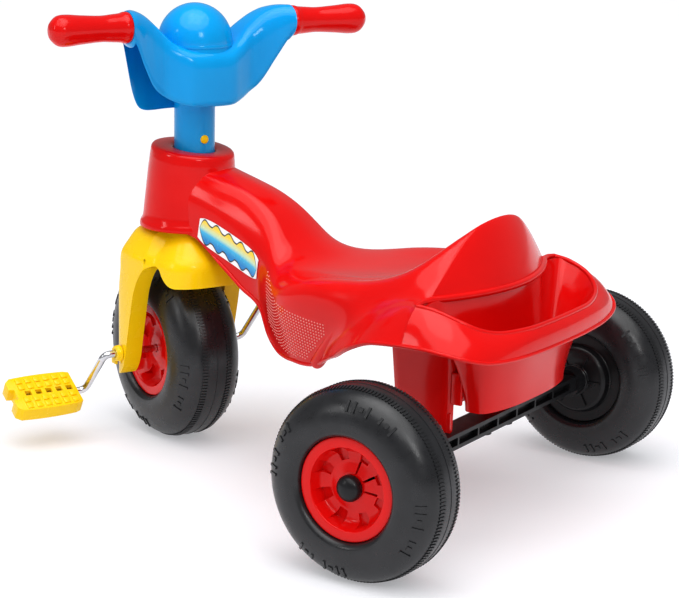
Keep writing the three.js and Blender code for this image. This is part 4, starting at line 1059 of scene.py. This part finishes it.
piece("crank", "front_wheel", STEEL, crank(), ["crank_rod"], FRONT)


def pedal():
    half, t, L = PEDAL_WIDE / 2, PEDAL_THICK / 2, PEDAL_LONG
    slim = half * 0.86
    s = [(-slim, 0), (-slim - 2, 6)]
    s += bend(s[-1], (-half - 1, L / 2), (-slim - 2, L - 6), 12)
    s += [(-slim + 3, L), (-8, L), (-7, L - 6), (7, L - 6), (8, L), (slim - 3, L), (slim + 2, L - 6)]
    s += bend(s[-1], (half + 1, L / 2), (slim + 2, 6), 12)
    s += [(slim, 0)]
    swap_yz = Matrix(((1, 0, 0, 0), (0, 0, 1, 0), (0, 1, 0, 0), (0, 0, 0, 1)))
    body = shifted(prism(s, -t, t), swap_yz)
    pitch = (L - 16) / 5
    centres = [2 + pitch * (i + 0.5) for i in range(5)]
    tools = [box(-3.4, 3.4, y - 3.6, y + 3.6, -t - 3, t + 3) for y in centres]
    tools.append(turned([(0, -5), (AXLE_R + RUN, -5), (AXLE_R + RUN, L - 11.65), (0, L - 11.65)], "Y", 32))
    parts = [bevelled(cut(body, *tools), 0.9, 3, 40)]
    for i in range(6):
        y = 5.2 + (L - 12) / 6 * (i + 0.25)
        for x in (-18.5, -9.5, 9.5, 18.5):
            for z0, z1 in ((t - 1, t + 1.4), (-t - 1.4, -t + 1)):
                parts.append(bevelled(box(x - 3.9, x + 3.9, y - 3.6, y + 3.6, z0, z1), 0.8, 2))
    return parts


for side, word, body in ((1, "left", "pedal_l"), (-1, "right", "pedal_r")):
    r = side * CRANK_R
    spindle = (r * math.cos(CRANK_DROP), side * PEDAL_START, -r * math.sin(CRANK_DROP))
    where = FRONT @ Matrix.Translation(spindle) @ Matrix.Rotation(-PEDAL_TILT, 4, "Y")
    if side < 0:
        where = where @ Matrix.Rotation(math.pi, 4, "X")
    piece("pedal_block_" + word, body, YELLOW, pedal(), ["pedal_" + word], where, 30)

# ------------------------------------------------------------------ kept CAD nodes
for name, mat in (("axle_beam", BLACK), ("beam_screw_left", STEEL), ("beam_screw_right", STEEL),
                  ("rear_axle_rod", STEEL)):
    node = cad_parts[name]
    node.data.materials.clear()
    node.data.materials.append(mat)

# ------------------------------------------------------------------ studio
scene = bpy.context.scene
scene.view_settings.view_transform = "Standard"
scene.view_settings.look = "None"

floor_mesh = bpy.data.meshes.new("floor")
floor_mesh.from_pydata([(-14, -14, 0), (14, -14, 0), (14, 14, 0), (-14, 14, 0)], [], [(0, 1, 2, 3)])
floor = bpy.data.objects.new("floor", floor_mesh)
scene.collection.objects.link(floor)
ground = Nodes("floor_white")
pale = ground.ramp(ground.noise(0.6, 2), [(0.3, (0.60, 0.60, 0.62)), (0.7, (0.63, 0.63, 0.65))])
floor_mesh.materials.append(ground.into(Base_Color=pale, Roughness=0.6, Specular_IOR_Level=0.1,
                                        Emission_Color=(0.97, 0.975, 1.0, 1), Emission_Strength=0.38))

world = bpy.data.worlds.new("studio")
world.use_nodes = True
world.node_tree.nodes["Background"].inputs["Color"].default_value = (1.0, 1.0, 1.02, 1)
world.node_tree.nodes["Background"].inputs["Strength"].default_value = 0.34
scene.world = world


def area(name, place, target, size, power):
    data = bpy.data.lights.new(name, "AREA")
    data.shape, data.size, data.size_y, data.energy = "RECTANGLE", size[0], size[1], power
    obj = bpy.data.objects.new(name, data)
    scene.collection.objects.link(obj)
    obj.location = place
    obj.rotation_euler = (Vector(target) - Vector(place)).to_track_quat("-Z", "Y").to_euler()
    return obj


area("top", (-0.2, 0.4, 2.2), (0, 0, 0.2), (1.2, 1.2), 7)
area("key", (-1.9, 1.3, 1.5), (0, 0, 0.25), (0.5, 0.6), 8)
area("side", (1.3, 2.1, 1.3), (0, 0, 0.25), (0.4, 0.9), 6)
sun = bpy.data.objects.new("sun", bpy.data.lights.new("sun", "SUN"))
sun.data.energy, sun.data.angle = 2.4, math.radians(75)
sun.rotation_euler = (math.radians(-14), math.radians(-8), 0)
scene.collection.objects.link(sun)
scene.view_settings.gamma = 0.88

# Camera: its direction and roll, its place in mm, and its lens.
AZ, DOWN, ROLL = math.radians(-57.2525), math.radians(13.6865), math.radians(1.3346)
look = Vector((math.cos(DOWN) * math.cos(AZ), math.cos(DOWN) * math.sin(AZ), -math.sin(DOWN)))
level = look.cross(Vector((0, 0, 1))).normalized()
upright = level.cross(look)
right = math.cos(ROLL) * level + math.sin(ROLL) * upright
up = -math.sin(ROLL) * level + math.cos(ROLL) * upright
camera = bpy.data.objects.new("camera", bpy.data.cameras.new("camera"))
scene.collection.objects.link(camera)
turn = Matrix((right, up, -look)).transposed().to_4x4()
camera.matrix_world = Matrix.Translation(MM @ Vector((-934.69, 1735.43, 694.53))) @ turn
camera.data.sensor_width = 36
camera.data.lens = 107.70
camera.data.clip_end = 60
camera.data.dof.use_dof = False
scene.camera = camera
